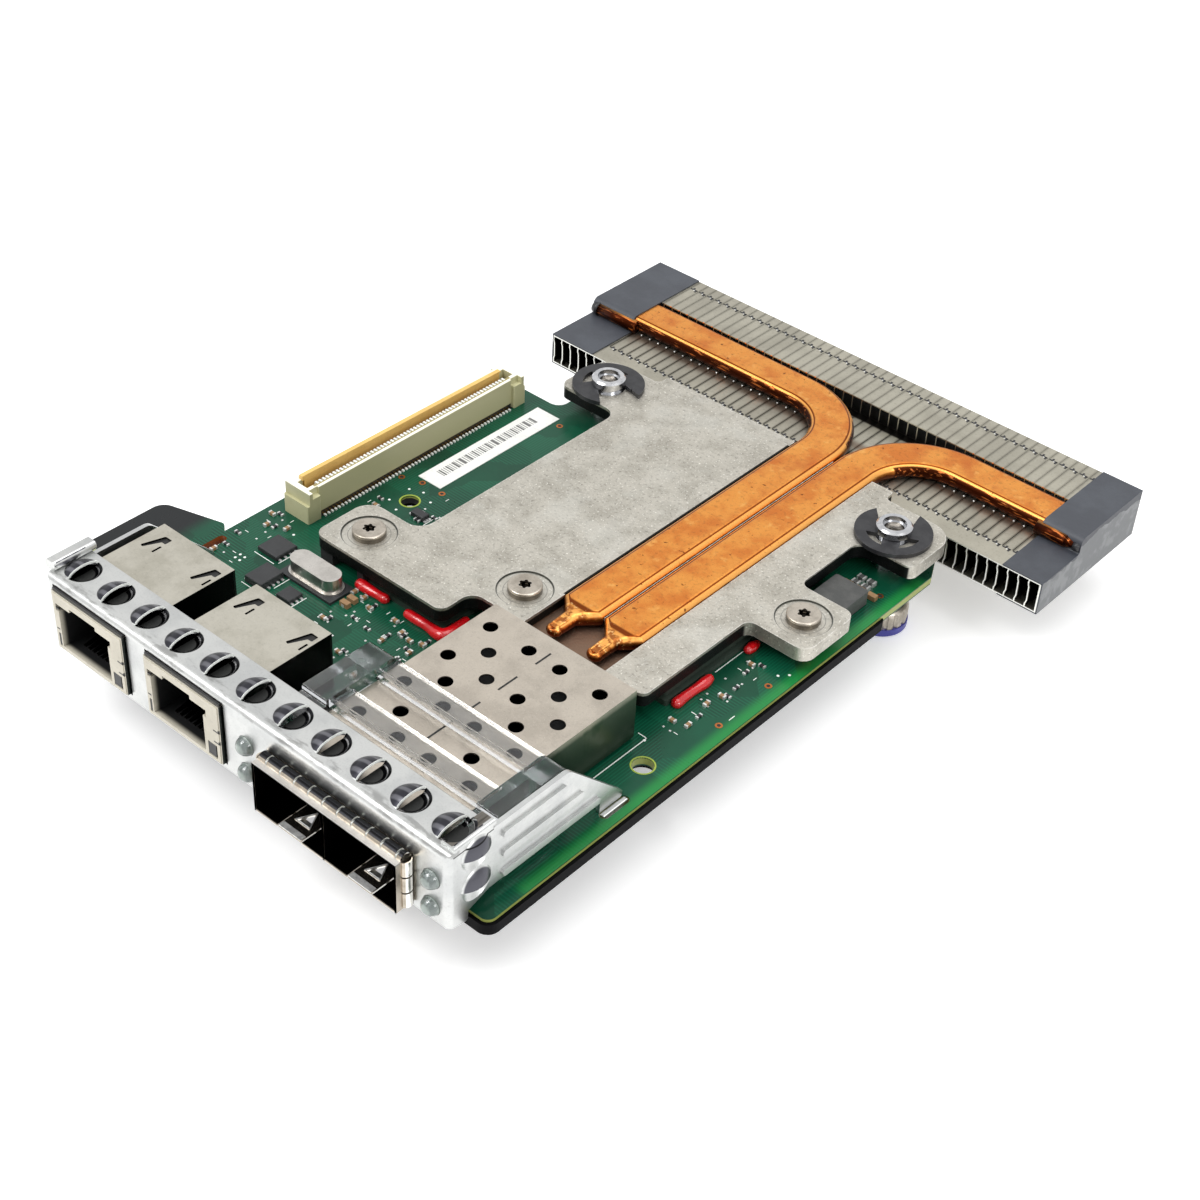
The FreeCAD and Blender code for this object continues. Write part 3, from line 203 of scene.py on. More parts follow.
# finishes: colours are screen values from 0 to 255, sizes are in millimetres
plainLook = dict(patchSize=12, patchAmount=0.5, speckSize=0.5, speckAmount=0.1, smooth=0.3, rough=0.5,
                 grainSize=0.4, grainDepth=0.02, bump=0.6, stretch=(1, 1, 1), scratchLength=5,
                 scratchWidth=0.08, rubRadius=0.25, rubBreak=1.0, metallic=0.0, ior=1.5, coat=0.0,
                 coatRough=0.1, clear=0.0)
looks = {
    "bracketSteel": dict(colour=(208, 209, 207), patch=(176, 178, 178), patchSize=9, patchAmount=0.6,
                         speckSize=0.35, smooth=0.22, rough=0.42, grainSize=0.25, grainDepth=0.012,
                         stretch=(0.12, 1, 1), metallic=1.0, scratch=0.5, scratchColour=(170, 170, 172)),
    "cageSteel": dict(colour=(196, 187, 174), patch=(160, 152, 141), patchSize=7, patchAmount=0.55,
                      speckSize=0.3, speckAmount=0.12, smooth=0.24, rough=0.42, grainSize=0.2,
                      grainDepth=0.01, stretch=(1, 0.15, 1), metallic=1.0, scratch=0.5,
                      scratchColour=(220, 214, 204)),
    "jackSteel": dict(colour=(194, 190, 178), patch=(156, 152, 138), patchSize=6, smooth=0.26, rough=0.45,
                      grainSize=0.2, grainDepth=0.01, stretch=(0.2, 1, 1), metallic=1.0, scratch=0.4,
                      scratchColour=(216, 210, 200)),
    "springSteel": dict(colour=(190, 180, 165), patch=(120, 112, 100), patchSize=2, smooth=0.16, rough=0.32,
                        grainSize=0.2, grainDepth=0.006, metallic=1.0),
    "plateMetal": dict(colour=(188, 184, 174), patch=(160, 156, 146), patchSize=5, patchAmount=0.75,
                       speckSize=0.55, speckAmount=0.34, smooth=0.36, rough=0.62, grainSize=0.45,
                       grainDepth=0.07, bump=0.8, metallic=1.0, scratch=0.35, scratchColour=(214, 211, 204),
                       rub=0.8, rubColour=(235, 233, 228), rubRadius=0.35),
    "pipeCopper": dict(colour=(228, 154, 74), patch=(196, 106, 44), patchSize=6, patchAmount=0.7,
                       speckSize=0.7, speckAmount=0.22, smooth=0.24, grainSize=0.6, grainDepth=0.03,
                       metallic=1.0, scratch=0.45, scratchColour=(120, 58, 26)),
    "finMetal": dict(colour=(178, 174, 160), patch=(150, 146, 134), patchSize=10, patchAmount=0.6,
                     speckSize=0.4, speckAmount=0.14, smooth=0.34, rough=0.55, grainSize=0.25,
                     grainDepth=0.012, stretch=(1, 0.15, 1), metallic=1.0),
    "tapeGrey": dict(colour=(56, 59, 66), patch=(72, 76, 83), patchSize=8, patchAmount=0.6, speckSize=0.4,
                     speckAmount=0.08, smooth=0.42, rough=0.6, grainSize=1.6, grainDepth=0.06, bump=0.5),
    "screwSteel": dict(colour=(190, 182, 170), patch=(140, 132, 120), patchSize=2.5, patchAmount=0.6,
                       speckSize=0.3, speckAmount=0.2, smooth=0.24, rough=0.45, grainSize=0.2,
                       grainDepth=0.012, metallic=1.0, rub=0.7, rubColour=(232, 228, 220), rubRadius=0.15),
    "sleeveSteel": dict(colour=(205, 206, 208), patch=(160, 160, 164), patchSize=2.0, smooth=0.12,
                        rough=0.3, grainSize=0.25, grainDepth=0.01, stretch=(0.4, 0.4, 3), metallic=1.0),
    "clipBlack": dict(colour=(38, 38, 41), patch=(58, 58, 60), patchSize=2.2, patchAmount=0.6,
                      speckSize=0.25, grainSize=0.2, grainDepth=0.015, metallic=0.35, rub=0.6,
                      rubColour=(120, 120, 122), rubRadius=0.12),
    "capBlue": dict(colour=(68, 68, 158), patch=(54, 54, 138), patchSize=3, rough=0.45, grainSize=0.2,
                    grainDepth=0.01),
    "trayBlack": dict(colour=(6, 6, 8), patch=(12, 12, 14), patchSize=10, smooth=0.4, rough=0.6,
                      grainSize=0.25, ior=1.12),
    "boardGreen": dict(colour=(4, 58, 40), patch=(10, 78, 54), patchSize=16, speckAmount=0.05, smooth=0.22,
                       rough=0.36, grainSize=0.6, grainDepth=0.008, coat=0.08, coatRough=0.12, ior=1.32),
    "jackCream": dict(colour=(206, 200, 184), patch=(186, 180, 164), patchSize=5, smooth=0.4, rough=0.55,
                      grainSize=0.3, grainDepth=0.01),
    "portBlackAndShade": dict(colour=(26, 26, 27), patch=(38, 38, 39), patchSize=4, smooth=0.35, grainSize=0.2,
                      grainDepth=0.01),
    "connectorIvory": dict(colour=(196, 193, 154), patch=(178, 174, 134), patchSize=8, patchAmount=0.55,
                           speckSize=0.3, speckAmount=0.05, smooth=0.34, grainSize=0.3, grainDepth=0.01),
    "contactGold": dict(colour=(214, 178, 108), patch=(188, 146, 76), patchSize=2, smooth=0.2, rough=0.34,
                        grainSize=0.1, grainDepth=0.004, metallic=1.0),
    "packageDark": dict(colour=(40, 52, 44), patch=(52, 62, 54), patchSize=5, smooth=0.36, rough=0.52,
                        grainSize=0.15, grainDepth=0.01),
    "padGrey": dict(colour=(96, 98, 102), patch=(110, 112, 116), patchSize=3, smooth=0.6, rough=0.8,
                    grainSize=0.3, grainDepth=0.03),
    "glueRed": dict(colour=(208, 14, 24), patch=(168, 8, 16), patchSize=2, patchAmount=0.6, smooth=0.12,
                    rough=0.26, grainSize=0.9, grainDepth=0.12, coat=0.6, coatRough=0.06),
    "crystalMetal": dict(colour=(206, 202, 196), patch=(168, 164, 158), patchSize=3, speckSize=0.3,
                         speckAmount=0.12, smooth=0.2, rough=0.4, grainSize=0.2, grainDepth=0.01,
                         stretch=(0.2, 1, 1), metallic=1.0, rub=0.5, rubColour=(240, 240, 238),
                         rubRadius=0.2),
    "chipBlackAndShade": dict(colour=(34, 35, 37), patch=(46, 47, 49), patchSize=2, speckSize=0.15, smooth=0.42,
                      rough=0.58, grainSize=0.08, grainDepth=0.008),
    "inductorGrey": dict(colour=(66, 67, 66), patch=(84, 84, 82), patchSize=2, patchAmount=0.6,
                         speckSize=0.25, speckAmount=0.3, smooth=0.5, rough=0.7, grainSize=0.2,
                         grainDepth=0.04),
    "capacitorTan": dict(colour=(150, 118, 84), patch=(128, 98, 68), patchSize=1, smooth=0.35,
                         grainSize=0.1, grainDepth=0.008),
    "labelWhite": dict(colour=(232, 232, 228), patch=(220, 220, 216), patchSize=6, smooth=0.45, rough=0.55,
                       grainSize=0.3, grainDepth=0.006),
    "lensFrost": dict(colour=(150, 160, 154), patch=(120, 130, 126), patchSize=2, patchAmount=0.6,
                      smooth=0.16, rough=0.34, grainSize=0.3, grainDepth=0.01, coat=0.7, coatRough=0.05),
    "solderAndGlintBright": dict(colour=(234, 234, 232), patch=(150, 150, 150), patchSize=0.8, patchAmount=0.6,
                         smooth=0.2, rough=0.4, grainSize=0.2, grainDepth=0.01, metallic=0.55),
    "resistorBlack": dict(colour=(28, 28, 30), patch=(44, 44, 46), patchSize=0.8, grainSize=0.1,
                          grainDepth=0.006),
    "inkAndHighlightWhite": dict(colour=(236, 238, 234), patch=(208, 214, 208), patchSize=1.5, smooth=0.5, rough=0.6,
                     grainSize=0.15, grainDepth=0.004),
    "channelTan": dict(colour=(228, 190, 112), patch=(210, 168, 92), patchSize=6, smooth=0.4, rough=0.55,
                       grainSize=0.3, grainDepth=0.01),
    "viaCopper": dict(colour=(196, 120, 70), patch=(150, 84, 44), patchSize=0.6, smooth=0.25, rough=0.4,
                      grainSize=0.1, grainDepth=0.004, metallic=1.0),
    "holeDark": dict(colour=(10, 12, 10), patch=(18, 20, 18), patchSize=0.8, smooth=0.5, rough=0.7,
                     grainSize=0.1, grainDepth=0.004),
    "rimGreen": dict(colour=(150, 168, 60), patch=(120, 140, 50), patchSize=1.0, rough=0.45, grainSize=0.2,
                     grainDepth=0.006),
    "foamBlack": dict(colour=(26, 27, 28), patch=(40, 41, 42), patchSize=2.5, patchAmount=0.6,
                      speckSize=0.3, speckAmount=0.4, smooth=0.7, rough=0.9, grainSize=0.35, grainDepth=0.08),
    "clearPlastic": dict(colour=(236, 238, 240), patch=(222, 226, 230), patchSize=6, speckAmount=0.02,
                         smooth=0.06, rough=0.16, grainSize=1.2, clear=1.0, ior=1.49),
}


def newFinish(name, values):
    # a material from the shared groups
    look = {**plainLook, **values}
    material = bpy.data.materials.new(name)
    material.use_nodes = True
    tree = material.node_tree
    shader = tree.nodes["Principled BSDF"]
    surface = useGroup(tree, handledSurface, {
        "Colour": paint(*look["colour"]), "Patch colour": paint(*look["patch"]),
        "Patch size": look["patchSize"] * mm, "Patch amount": look["patchAmount"],
        "Speck size": look["speckSize"] * mm, "Speck amount": look["speckAmount"], "Smooth": look["smooth"],
        "Rough": look["rough"], "Grain size": look["grainSize"] * mm, "Stretch": look["stretch"]})
    colour, height = surface["Colour"], surface["Height"]
    if "scratch" in look:
        mask = useGroup(tree, fineScratches, {"Length": look["scratchLength"] * mm,
                                              "Width": look["scratchWidth"] * mm,
                                              "Amount": look["scratch"]})["Mask"]
        colour = mixColour(tree, mask, colour, paint(*look["scratchColour"]))
        height = mathNode(tree, "SUBTRACT", height, times(tree, mask, 0.5))
    if "rub" in look:
        mask = useGroup(tree, edgeRub, {"Radius": look["rubRadius"] * mm, "Amount": look["rub"],
                                        "Break up": look["rubBreak"] * mm})["Mask"]
        colour = mixColour(tree, mask, colour, paint(*look["rubColour"]))
    bump = addNode(tree, "ShaderNodeBump", None,
                   {"Height": height, "Distance": look["grainDepth"] * mm, "Strength": look["bump"]})
    tree.links.new(colour, shader.inputs["Base Color"])
    tree.links.new(surface["Roughness"], shader.inputs["Roughness"])
    tree.links.new(bump.outputs[0], shader.inputs["Normal"])
    for label, key in (("Metallic", "metallic"), ("IOR", "ior"), ("Coat Weight", "coat"),
                       ("Coat Roughness", "coatRough"), ("Transmission Weight", "clear")):
        shader.inputs[label].default_value = look[key]
    return material


finishes = {name: newFinish(name, values) for name, values in looks.items()}


# masks that say where a finish changes

def objectAxis(tree, axis, offset=0.0):
    # Object coordinate along one axis, in metres
    return mathNode(tree, "SUBTRACT", axisValue(tree, objectCoord(tree), axis), offset)


def boxMask(tree, x=None, y=None, z=None, soft=0.05):
    # 1 inside a box given in millimetres from the faceplate's corner
    zero = place(0, 0, 0)
    masks = [band(tree, objectAxis(tree, axis, zero[axis]), limits[0] * mm, limits[1] * mm, soft * mm)
             for axis, limits in enumerate((x, y, z)) if limits]
    return times(tree, *masks)


def facing(tree, axis, low, high=1.01):
    # 1 where the surface's own normal along an axis lies between two values
    normal = tree.nodes.new("ShaderNodeNewGeometry").outputs["True Normal"]
    return band(tree, axisValue(tree, normal, axis), low, high, 0.01)


def upright(tree):
    # 1 on faces that stand up
    normal = tree.nodes.new("ShaderNodeNewGeometry").outputs["True Normal"]
    return mathNode(tree, "LESS_THAN", mathNode(tree, "ABSOLUTE", axisValue(tree, normal, 2)), 0.5)


def lengthOf(tree, first, second):
    squares = [mathNode(tree, "POWER", value, 2.0) for value in (first, second)]
    return mathNode(tree, "SQRT", mathNode(tree, "ADD", *squares))


screws = [(19.1, 49.3), (47.4, 56.5), (83.8, 82.2)]  # the three that hold the plate


def screwRings(tree, low, high):
    # 1 between two distances, in millimetres, from the axis of a plate screw
    masks = []
    for x, y in screws:
        origin = place(x, y, 0)
        distance = lengthOf(tree, *(objectAxis(tree, axis, origin[axis]) for axis in (0, 1)))
        masks.append(band(tree, distance, low * mm, high * mm, 0.04 * mm))
    first = mathNode(tree, "MAXIMUM", masks[0], masks[1])
    return mathNode(tree, "MAXIMUM", first, masks[2])


def spotMask(tree, size, low, high, amount, detail=3.0, stretch=(1, 1, 1)):
    # irregular spots of about the given size in millimetres
    noise = noiseNode(tree, stretchNode(tree, objectCoord(tree), stretch), 1.0 / (size * mm), detail, 0.6)
    return spread(tree, noise, low, high, 0.0, amount)


def shade(name, colour, mask=None, normal=None, spots=None, rings=None, standing=False, amount=1.0, **box):
    # lays a colour over a finish where all the given masks meet
    tree = finishes[name].node_tree
    masks = [] if mask is None else [mask]
    if box:
        masks.append(boxMask(tree, **box))
    if normal:
        masks.append(facing(tree, *normal))
    if standing:
        masks.append(upright(tree))
    if spots:
        masks.append(spotMask(tree, *spots))
    if rings:
        masks.append(screwRings(tree, *rings))
    if amount < 1.0:
        masks.append(amount)
    base = tree.nodes["Principled BSDF"].inputs["Base Color"]
    over = paint(*colour) if isinstance(colour, tuple) else colour
    tree.links.new(mixColour(tree, times(tree, *masks), base.links[0].from_socket, over), base)


def copperHeatMarksAndPaintedLight():
    # red-brown heat tint, streaks from soldering, and painted highlights and painted shade on the edges,
    # sides and tips
    tree = finishes["pipeCopper"].node_tree
    shade("pipeCopper", (190, 100, 46), spots=(7.5, 0.52, 0.70, 0.6, 6.0))
    shade("pipeCopper", (244, 190, 108), spots=(2.6, 0.58, 0.72, 0.45, 5.0))
    # painted highlight along each bright rounded edge
    shade("pipeCopper", (240, 172, 92), z=(5.5, 6.12), soft=0.1)
    # painted shade in the dark crease beside it
    shade("pipeCopper", (118, 56, 18), z=(6.15, 6.25), soft=0.02)
    # sides darker below the rounded edge: heat tint and painted shade
    ragged = times(tree, noiseNode(tree, objectCoord(tree), 420.0, 4.0), 0.8 * mm)
    low = mathNode(tree, "ADD", objectAxis(tree, 2), ragged)
    shade("pipeCopper", (96, 40, 14), mask=spread(tree, low, 5.1 * mm, 6.1 * mm, 0.95, 0.0))
    soldered = dict(y=(126.0, 133.0), z=(3.0, 5.95), soft=0.15)
    shade("pipeCopper", (58, 22, 8), **soldered)
    shade("pipeCopper", (196, 112, 58), spots=(0.5, 0.56, 0.66, 0.9, 3.0, (0.12, 1, 1)), **soldered)
    shade("pipeCopper", (92, 40, 16), spots=(1.1, 0.68, 0.74, 0.8, 2.0))
    tip = dict(y=(50.0, 58.6), soft=1.2)
    shade("pipeCopper", (128, 54, 18), spots=(1.3, 0.44, 0.60, 0.8, 4.0), **tip)
    # painted highlights on the tips
    shade("pipeCopper", (252, 206, 140), spots=(0.7, 0.60, 0.68, 0.8, 3.0), **tip)


tracks = {"cellsPerMetre": 130.0, "pitches": (0.52, 0.60), "share": 0.45, "amount": 0.38, "pourAmount": 0.22}


def boardTracks():
    # buried tracks: bundles of fine lines along x or y, chosen cell by cell
    tree = finishes["boardGreen"].node_tree
    coord = objectCoord(tree)
    cells = addNode(tree, "ShaderNodeTexVoronoi", {"distance": "CHEBYCHEV", "voronoi_dimensions": "2D"},
                    {"Vector": coord, "Scale": tracks["cellsPerMetre"]})
    choice = addNode(tree, "ShaderNodeSeparateColor", None, {0: cells.outputs["Color"]}).outputs
    lines = []
    for axis, pitch in enumerate(tracks["pitches"]):
        phase = times(tree, axisValue(tree, coord, axis), 2 * math.pi / (pitch * mm))
        lines.append(spread(tree, mathNode(tree, "SINE", phase), 0.1, 0.5))
    pattern = mixNumber(tree, mathNode(tree, "GREATER_THAN", choice[0], 0.5), *lines)
    present = mathNode(tree, "GREATER_THAN", choice[1], tracks["share"])
    shade("boardGreen", (26, 104, 76), mask=times(tree, pattern, present), amount=tracks["amount"])
    shade("boardGreen", (20, 96, 68), mask=mathNode(tree, "GREATER_THAN", choice[2], 0.62),
          amount=tracks["pourAmount"])


def boardEdges():
    # pale resin of the cut edge, plated slot, lit band along the right side and the dark tab
    shade("boardGreen", (150, 158, 84), standing=True, z=(-1.35, -0.2), soft=0.1)
    shade("boardGreen", (136, 74, 34), standing=True, x=(-8.0, 3.0), y=(29.5, 38.0), z=(-1.7, -0.03),
          soft=0.02)
    shade("boardGreen", (40, 150, 66), normal=(2, 0.9), amount=0.55, x=(87.3, 95), y=(12, 110), soft=1.1)
    shade("boardGreen", (20, 23, 25), normal=(2, 0.9), x=(-40, -8.0), soft=2.0)


def darkInside():
    # cavities read black past their mouths, as they do where no light reaches
    tree = finishes["jackCream"].node_tree
    depth = spread(tree, objectAxis(tree, 1, place(0, 0, 0).y), -0.62 * mm, 0.5 * mm)
    shade("jackCream", (12, 12, 13), mask=depth)
    # painted shade on the shields just behind the faceplate
    shade("jackSteel", (14, 14, 15), y=(0.9, 8.65))
    # painted shade, a little green, on the shields' right-facing sides
    shade("jackSteel", (50, 54, 52), normal=(0, 0.7))
    # painted shade on the shields further back
    shade("jackSteel", (16, 16, 16), y=(8.8, 21.0), z=(2.0, 12.98), soft=0.02)
    shade("cageSteel", (9, 9, 10), x=(50.55, 78.95), y=(-2.95, 46.4), z=(0.7, 9.55), soft=0.03)
    # painted shade on the spring fingers above the mouths
    shade("springSteel", (34, 34, 36), y=(-1.75, 0.2), z=(9.9, 11.0))
    # painted highlight on the spring fingers' right-facing sides
    shade("springSteel", (236, 234, 228), normal=(0, 0.8))
    shade("contactGold", (18, 17, 15), y=(0.0, 16.0))


def cageShades():
    # rubbed brown along the lip, and green mirrored in the right-hand side
    shade("cageSteel", (150, 122, 68), spots=(2.2, 0.48, 0.62, 0.8), y=(-3.2, -1.8), z=(9.4, 10.1))
    side = dict(normal=(0, 0.9), y=(9.0, 60.0), z=(-1.0, 8.9), soft=0.6)
    shade("cageSteel", (96, 106, 92), **side)
    shade("cageSteel", (62, 84, 66), spots=(5.0, 0.50, 0.62, 0.8, 3.0, (1, 1, 0.4)), **side)


def connectorShades():
    # olive outside, tan channel, painted highlight on the top edges and painted shade on the outer
    # right-facing side
    shade("connectorIvory", (222, 178, 92), x=(0.55, 3.35), y=(51.3, 99.3), soft=0.03)
    # painted highlight along the top edges
    shade("connectorIvory", (250, 246, 226), z=(5.9, 6.1), soft=0.04)
    shade("connectorIvory", (150, 138, 92), x=(3.15, 3.75), y=(51.3, 99.3), z=(5.9, 6.1), soft=0.02)
    # painted shade on the outer right-facing side
    shade("connectorIvory", (174, 170, 132), normal=(0, 0.8), x=(4.0, 5.2), z=(-0.1, 5.9))


louvres = {"first": 3.6, "pitch": 7.89, "count": 11, "middle": 4.5, "half": 2.9, "rise": 1.15, "skin": 0.42,
           "edge": 0.06, "wave": 1.7, "near": 3.0, "rim": (2.2, 2.4), "shadow": 2.3,
           "shadowLevels": (13.12, 13.18)}


def louvreShades():
    # painted reflection of the dark room in soft upright bands on the raised halves, painted shadow in the
    # dished halves
    tree = finishes["bracketSteel"].node_tree
    phase = times(tree, objectAxis(tree, 1), 2 * math.pi / (louvres["wave"] * mm))
    tone = mixColour(tree, spread(tree, mathNode(tree, "SINE", phase), -0.2, 0.9), paint(58, 58, 64),
                     paint(112, 112, 118))
    cell = mathNode(tree, "PINGPONG", objectAxis(tree, 0, place(louvres["first"], 0, 0).x),
                    louvres["pitch"] * mm / 2)
    near = mathNode(tree, "LESS_THAN", cell, louvres["near"] * mm)
    shade("bracketSteel", tone, mask=near, normal=(0, -1.01, 0.75), x=(-1, 86.2), y=(1.75, 7.3),
          z=(14.05, 15.4), soft=0.04)
    dish = dict(x=(1, 85), y=(1.6, 7.4), z=(13.1, 13.95), soft=0.02)
    shade("bracketSteel", (40, 40, 44), **dish)
    # a ring of painted highlight in each dish
    reach = lengthOf(tree, cell, objectAxis(tree, 1, place(0, louvres["middle"], 0).y))
    low, high = louvres["rim"]
    shade("bracketSteel", (236, 236, 238), mask=band(tree, reach, low * mm, high * mm, 0.05 * mm), **dish)


def bracketShades():
    # ear domes in painted shadow, a darker mottled strip at the right, painted shade on the underside and a
    # worn front fold
    shade("bracketSteel", (84, 84, 90), normal=(2, -0.2), x=(86.3, 87.5), y=(2.2, 8.8), soft=0.1)
    strip = dict(normal=(2, 0.9), x=(83.5, 85.3), y=(1.5, 9.05))
    shade("bracketSteel", (112, 108, 102), **strip)
    shade("bracketSteel", (70, 67, 63), spots=(0.5, 0.5, 0.62, 0.8, 3.0, (1, 0.1, 1)), **strip)
    # painted shade on the flange's underside
    shade("bracketSteel", (40, 40, 42), y=(0.95, 8.7), z=(13.0, 13.22), soft=0.02)
    fold = boxMask(finishes["bracketSteel"].node_tree, z=(13.2, 14.1), soft=0.2)
    shade("bracketSteel", (132, 132, 130), mask=fold, spots=(1.3, 0.47, 0.62, 0.7, 5.0, (0.35, 1, 1)),
          y=(-0.1, 2.2), soft=0.4)


def plateShades():
    # painted sparkle glints, sides in painted shadow, turned rings under the screws and stained pocket floor
    # painted glints: fine bright sparkle on the cast skin
    shade("plateMetal", (240, 238, 230), spots=(0.42, 0.61, 0.71, 0.65, 2.0))
    shade("plateMetal", (206, 205, 198), spots=(9.0, 0.50, 0.68, 0.35, 5.0))
    shade("plateMetal", (34, 36, 36), standing=True, x=(8, 77.95), z=(2.0, 4.95), soft=0.12)
    shade("plateMetal", (26, 28, 28), standing=True, x=(77.95, 88.4), y=(88.4, 105.3), z=(2.0, 5.15),
          soft=0.1)
    shade("plateMetal", (112, 112, 106), rings=(4.5, 4.75))
    shade("plateMetal", (140, 138, 132), rings=(3.5, 3.62), normal=(2, 0.9))
    shade("plateMetal", (126, 104, 88), x=(48, 74), y=(50, 61), z=(3.1, 3.5))
    # painted shade in the gap beside the left pipe
    shade("plateMetal", (30, 28, 26), x=(52.5, 52.92), y=(60, 119), soft=0.04)
    # painted shade on the screw heads' sides and in their middles
    shade("screwSteel", (110, 104, 96), standing=True, z=(5.2, 6.1), soft=0.08)
    shade("screwSteel", (30, 28, 26), rings=(-1.0, 1.0), z=(4.5, 6.3), soft=0.02)


def tapeEnd():
    # the right-hand end face is a lighter, rubbed backing with a torn flap over it
    tree = finishes["tapeGrey"].node_tree
    face = dict(normal=(0, 0.9), x=(105.4, 106.0))
    shade("tapeGrey", (104, 106, 108), **face)
    shade("tapeGrey", (132, 134, 135), spots=(2.5, 0.45, 0.65, 0.7), **face)
    torn = times(tree, noiseNode(tree, objectCoord(tree), 260.0, 3.0), 3.4 * mm)
    edge = mathNode(tree, "ADD", objectAxis(tree, 2), torn)
    high = mathNode(tree, "GREATER_THAN", edge, 7.1 * mm)
    front = mathNode(tree, "GREATER_THAN", edge, 4.7 * mm)
    front = times(tree, front, boxMask(tree, y=(118.0, 130.2), soft=0.6))
    shade("tapeGrey", (56, 59, 66), mask=mathNode(tree, "MAXIMUM", high, front), **face)


# the fin stack's sizes; frontTop and rearTop are its two levels, and gap is the play between two folds
stack = {"left": -3.6, "pitch": 2.05, "count": 53, "skin": 0.3, "front": 119.2, "seam": 123.75,
         "step": 139.45, "rear": 150.8, "bottom": -2.6, "frontTop": 3.3, "rearTop": 6.3, "gap": 0.06,
         "kink": 0.22, "kinkedDepth": 0.8}


def finShades():
    # painted shade black in the cells and soft at the seams; only the fins' front edges catch a painted
    # highlight
    tree = finishes["finMetal"].node_tree
    sideways = mathNode(tree, "ADD", facing(tree, 0, -1.01, -0.6), facing(tree, 0, 0.6))
    shade("finMetal", (16, 16, 16), mask=sideways, y=(119.5, 151))
    shade("finMetal", (236, 236, 230), normal=(1, -1.01, -0.5), y=(119.0, 119.5))
    across = objectAxis(tree, 0, place(stack["left"], 0, 0).x)
    cell = mathNode(tree, "PINGPONG", across, stack["pitch"] * mm / 2)
    for y, depth in (((123.9, 139.3), 0.75), ((139.5, 151.0), 0.4)):
        seam = spread(tree, cell, 0.05 * mm, 0.5 * mm, depth, 0.0)
        shade("finMetal", (84, 82, 72), mask=seam, normal=(2, 0.9), y=y)
    shade("finMetal", (96, 66, 46), y=(129.4, 131.4), z=(3.0, 3.6), soft=0.8)
    # painted shade along the back of the pipe, before the step
    shade("finMetal", (24, 22, 20), y=(137.6, 139.6), z=(2.9, 3.6), soft=0.3)


plainBars = {"corner": (7.9, 71.6), "along": (3, 27.5), "across": (1.3, 3.3),
         "bars": ((0.52, 0.25, 0.75), (1.66, 0.72, 0.9))}  # pitch, width and darkness of each set of bars


def labelBars():
    # evenly spaced plain bars in the label's middle field
    tree = finishes["labelWhite"].node_tree
    corner = place(*plainBars["corner"], 0)
    across, along = (objectAxis(tree, axis, corner[axis]) for axis in (0, 1))
    sides = [(along, plainBars["along"]), (across, plainBars["across"])]
    field = times(tree, *(band(tree, value, low * mm, high * mm, 0.1 * mm) for value, (low, high) in sides))
    for pitch, middle, depth in plainBars["bars"]:
        wave = mathNode(tree, "SINE", times(tree, along, 2 * math.pi / (pitch * mm)))
        bars = spread(tree, wave, middle, middle + 0.15, 0.0, depth)
        shade("labelWhite", (60, 60, 62), mask=times(tree, bars, field))


copperHeatMarksAndPaintedLight()
boardTracks()
boardEdges()
darkInside()
cageShades()
connectorShades()
louvreShades()
bracketShades()
tapeEnd()
finShades()
plateShades()
labelBars()

# which finish each CAD node takes
nodeFinish = {
    "circuit_board": "boardGreen", "board_tray": "trayBlack", "faceplate": "bracketSteel",
    "sfp_cage": "cageSteel", "sfp_divider": "cageSteel", "sfp_latch_tongues": "springSteel",
    "sfp_spring_fingers": "springSteel", "light_pipe": "clearPlastic", "mezzanine_housing": "connectorIvory",
    "mezzanine_contacts": "contactGold", "heatsink_plate": "plateMetal", "heat_pipe_left": "pipeCopper",
    "heat_pipe_right": "pipeCopper", "fin_stack": "finMetal", "fin_tape_left": "tapeGrey",
    "fin_tape_right": "tapeGrey", "plate_screws": "screwSteel", "plate_posts": "contactGold",
    "controller_package": "packageDark", "second_package": "packageDark", "controller_pad": "padGrey",
    "second_pad": "padGrey", "package_glue": "glueRed", "crystal_can": "crystalMetal",
    "crystal_foot": "chipBlackAndShade", "board_chips": "chipBlackAndShade", "power_inductor": "inductorGrey",
    "chip_capacitors": "capacitorTan", "board_label": "labelWhite",
}
pairFinish = {
    "rj45_shield": "jackSteel", "rj45_insert": "jackCream", "rj45_contacts": "contactGold",
    "sfp_host_connector": "portBlackAndShade", "screw_sleeve": "sleeveSteel", "retaining_clip": "clipBlack",
    "captive_screw": "screwSteel", "screw_cap": "capBlue",
}
for name, finish in pairFinish.items():
    nodeFinish.update({name + "_left": finish, name + "_right": finish})
for name, finish in nodeFinish.items():
    holder = nodes[name]
    if not holder.material_slots:
        holder.data.materials.append(finishes[finish])
    for slot in holder.material_slots:
        slot.material = finishes[finish]
print("finishes laid on", len(nodeFinish), "nodes")


# helpers for pieces made in this scene

def newMaker(name, inputs):
    # a Geometry Nodes tree with named inputs after the geometry
    tree = bpy.data.node_groups.new(name, "GeometryNodeTree")
    tree.interface.new_socket("Geometry", in_out="INPUT", socket_type="NodeSocketGeometry")
    for label, kind, value in inputs:
        socket = tree.interface.new_socket(label, in_out="INPUT", socket_type=kind)
        if value is not None:
            socket.default_value = value
    tree.interface.new_socket("Geometry", in_out="OUTPUT", socket_type="NodeSocketGeometry")
    return tree, tree.nodes.new("NodeGroupInput").outputs, tree.nodes.new("NodeGroupOutput").inputs


def keepPiece(holder, replaced=(), body="card"):
    if replaced:
        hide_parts(*replaced)
    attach(holder, body)


def newObject(name, mesh):
    holder = bpy.data.objects.new(name, mesh)
    bpy.context.scene.collection.objects.link(holder)
    return holder


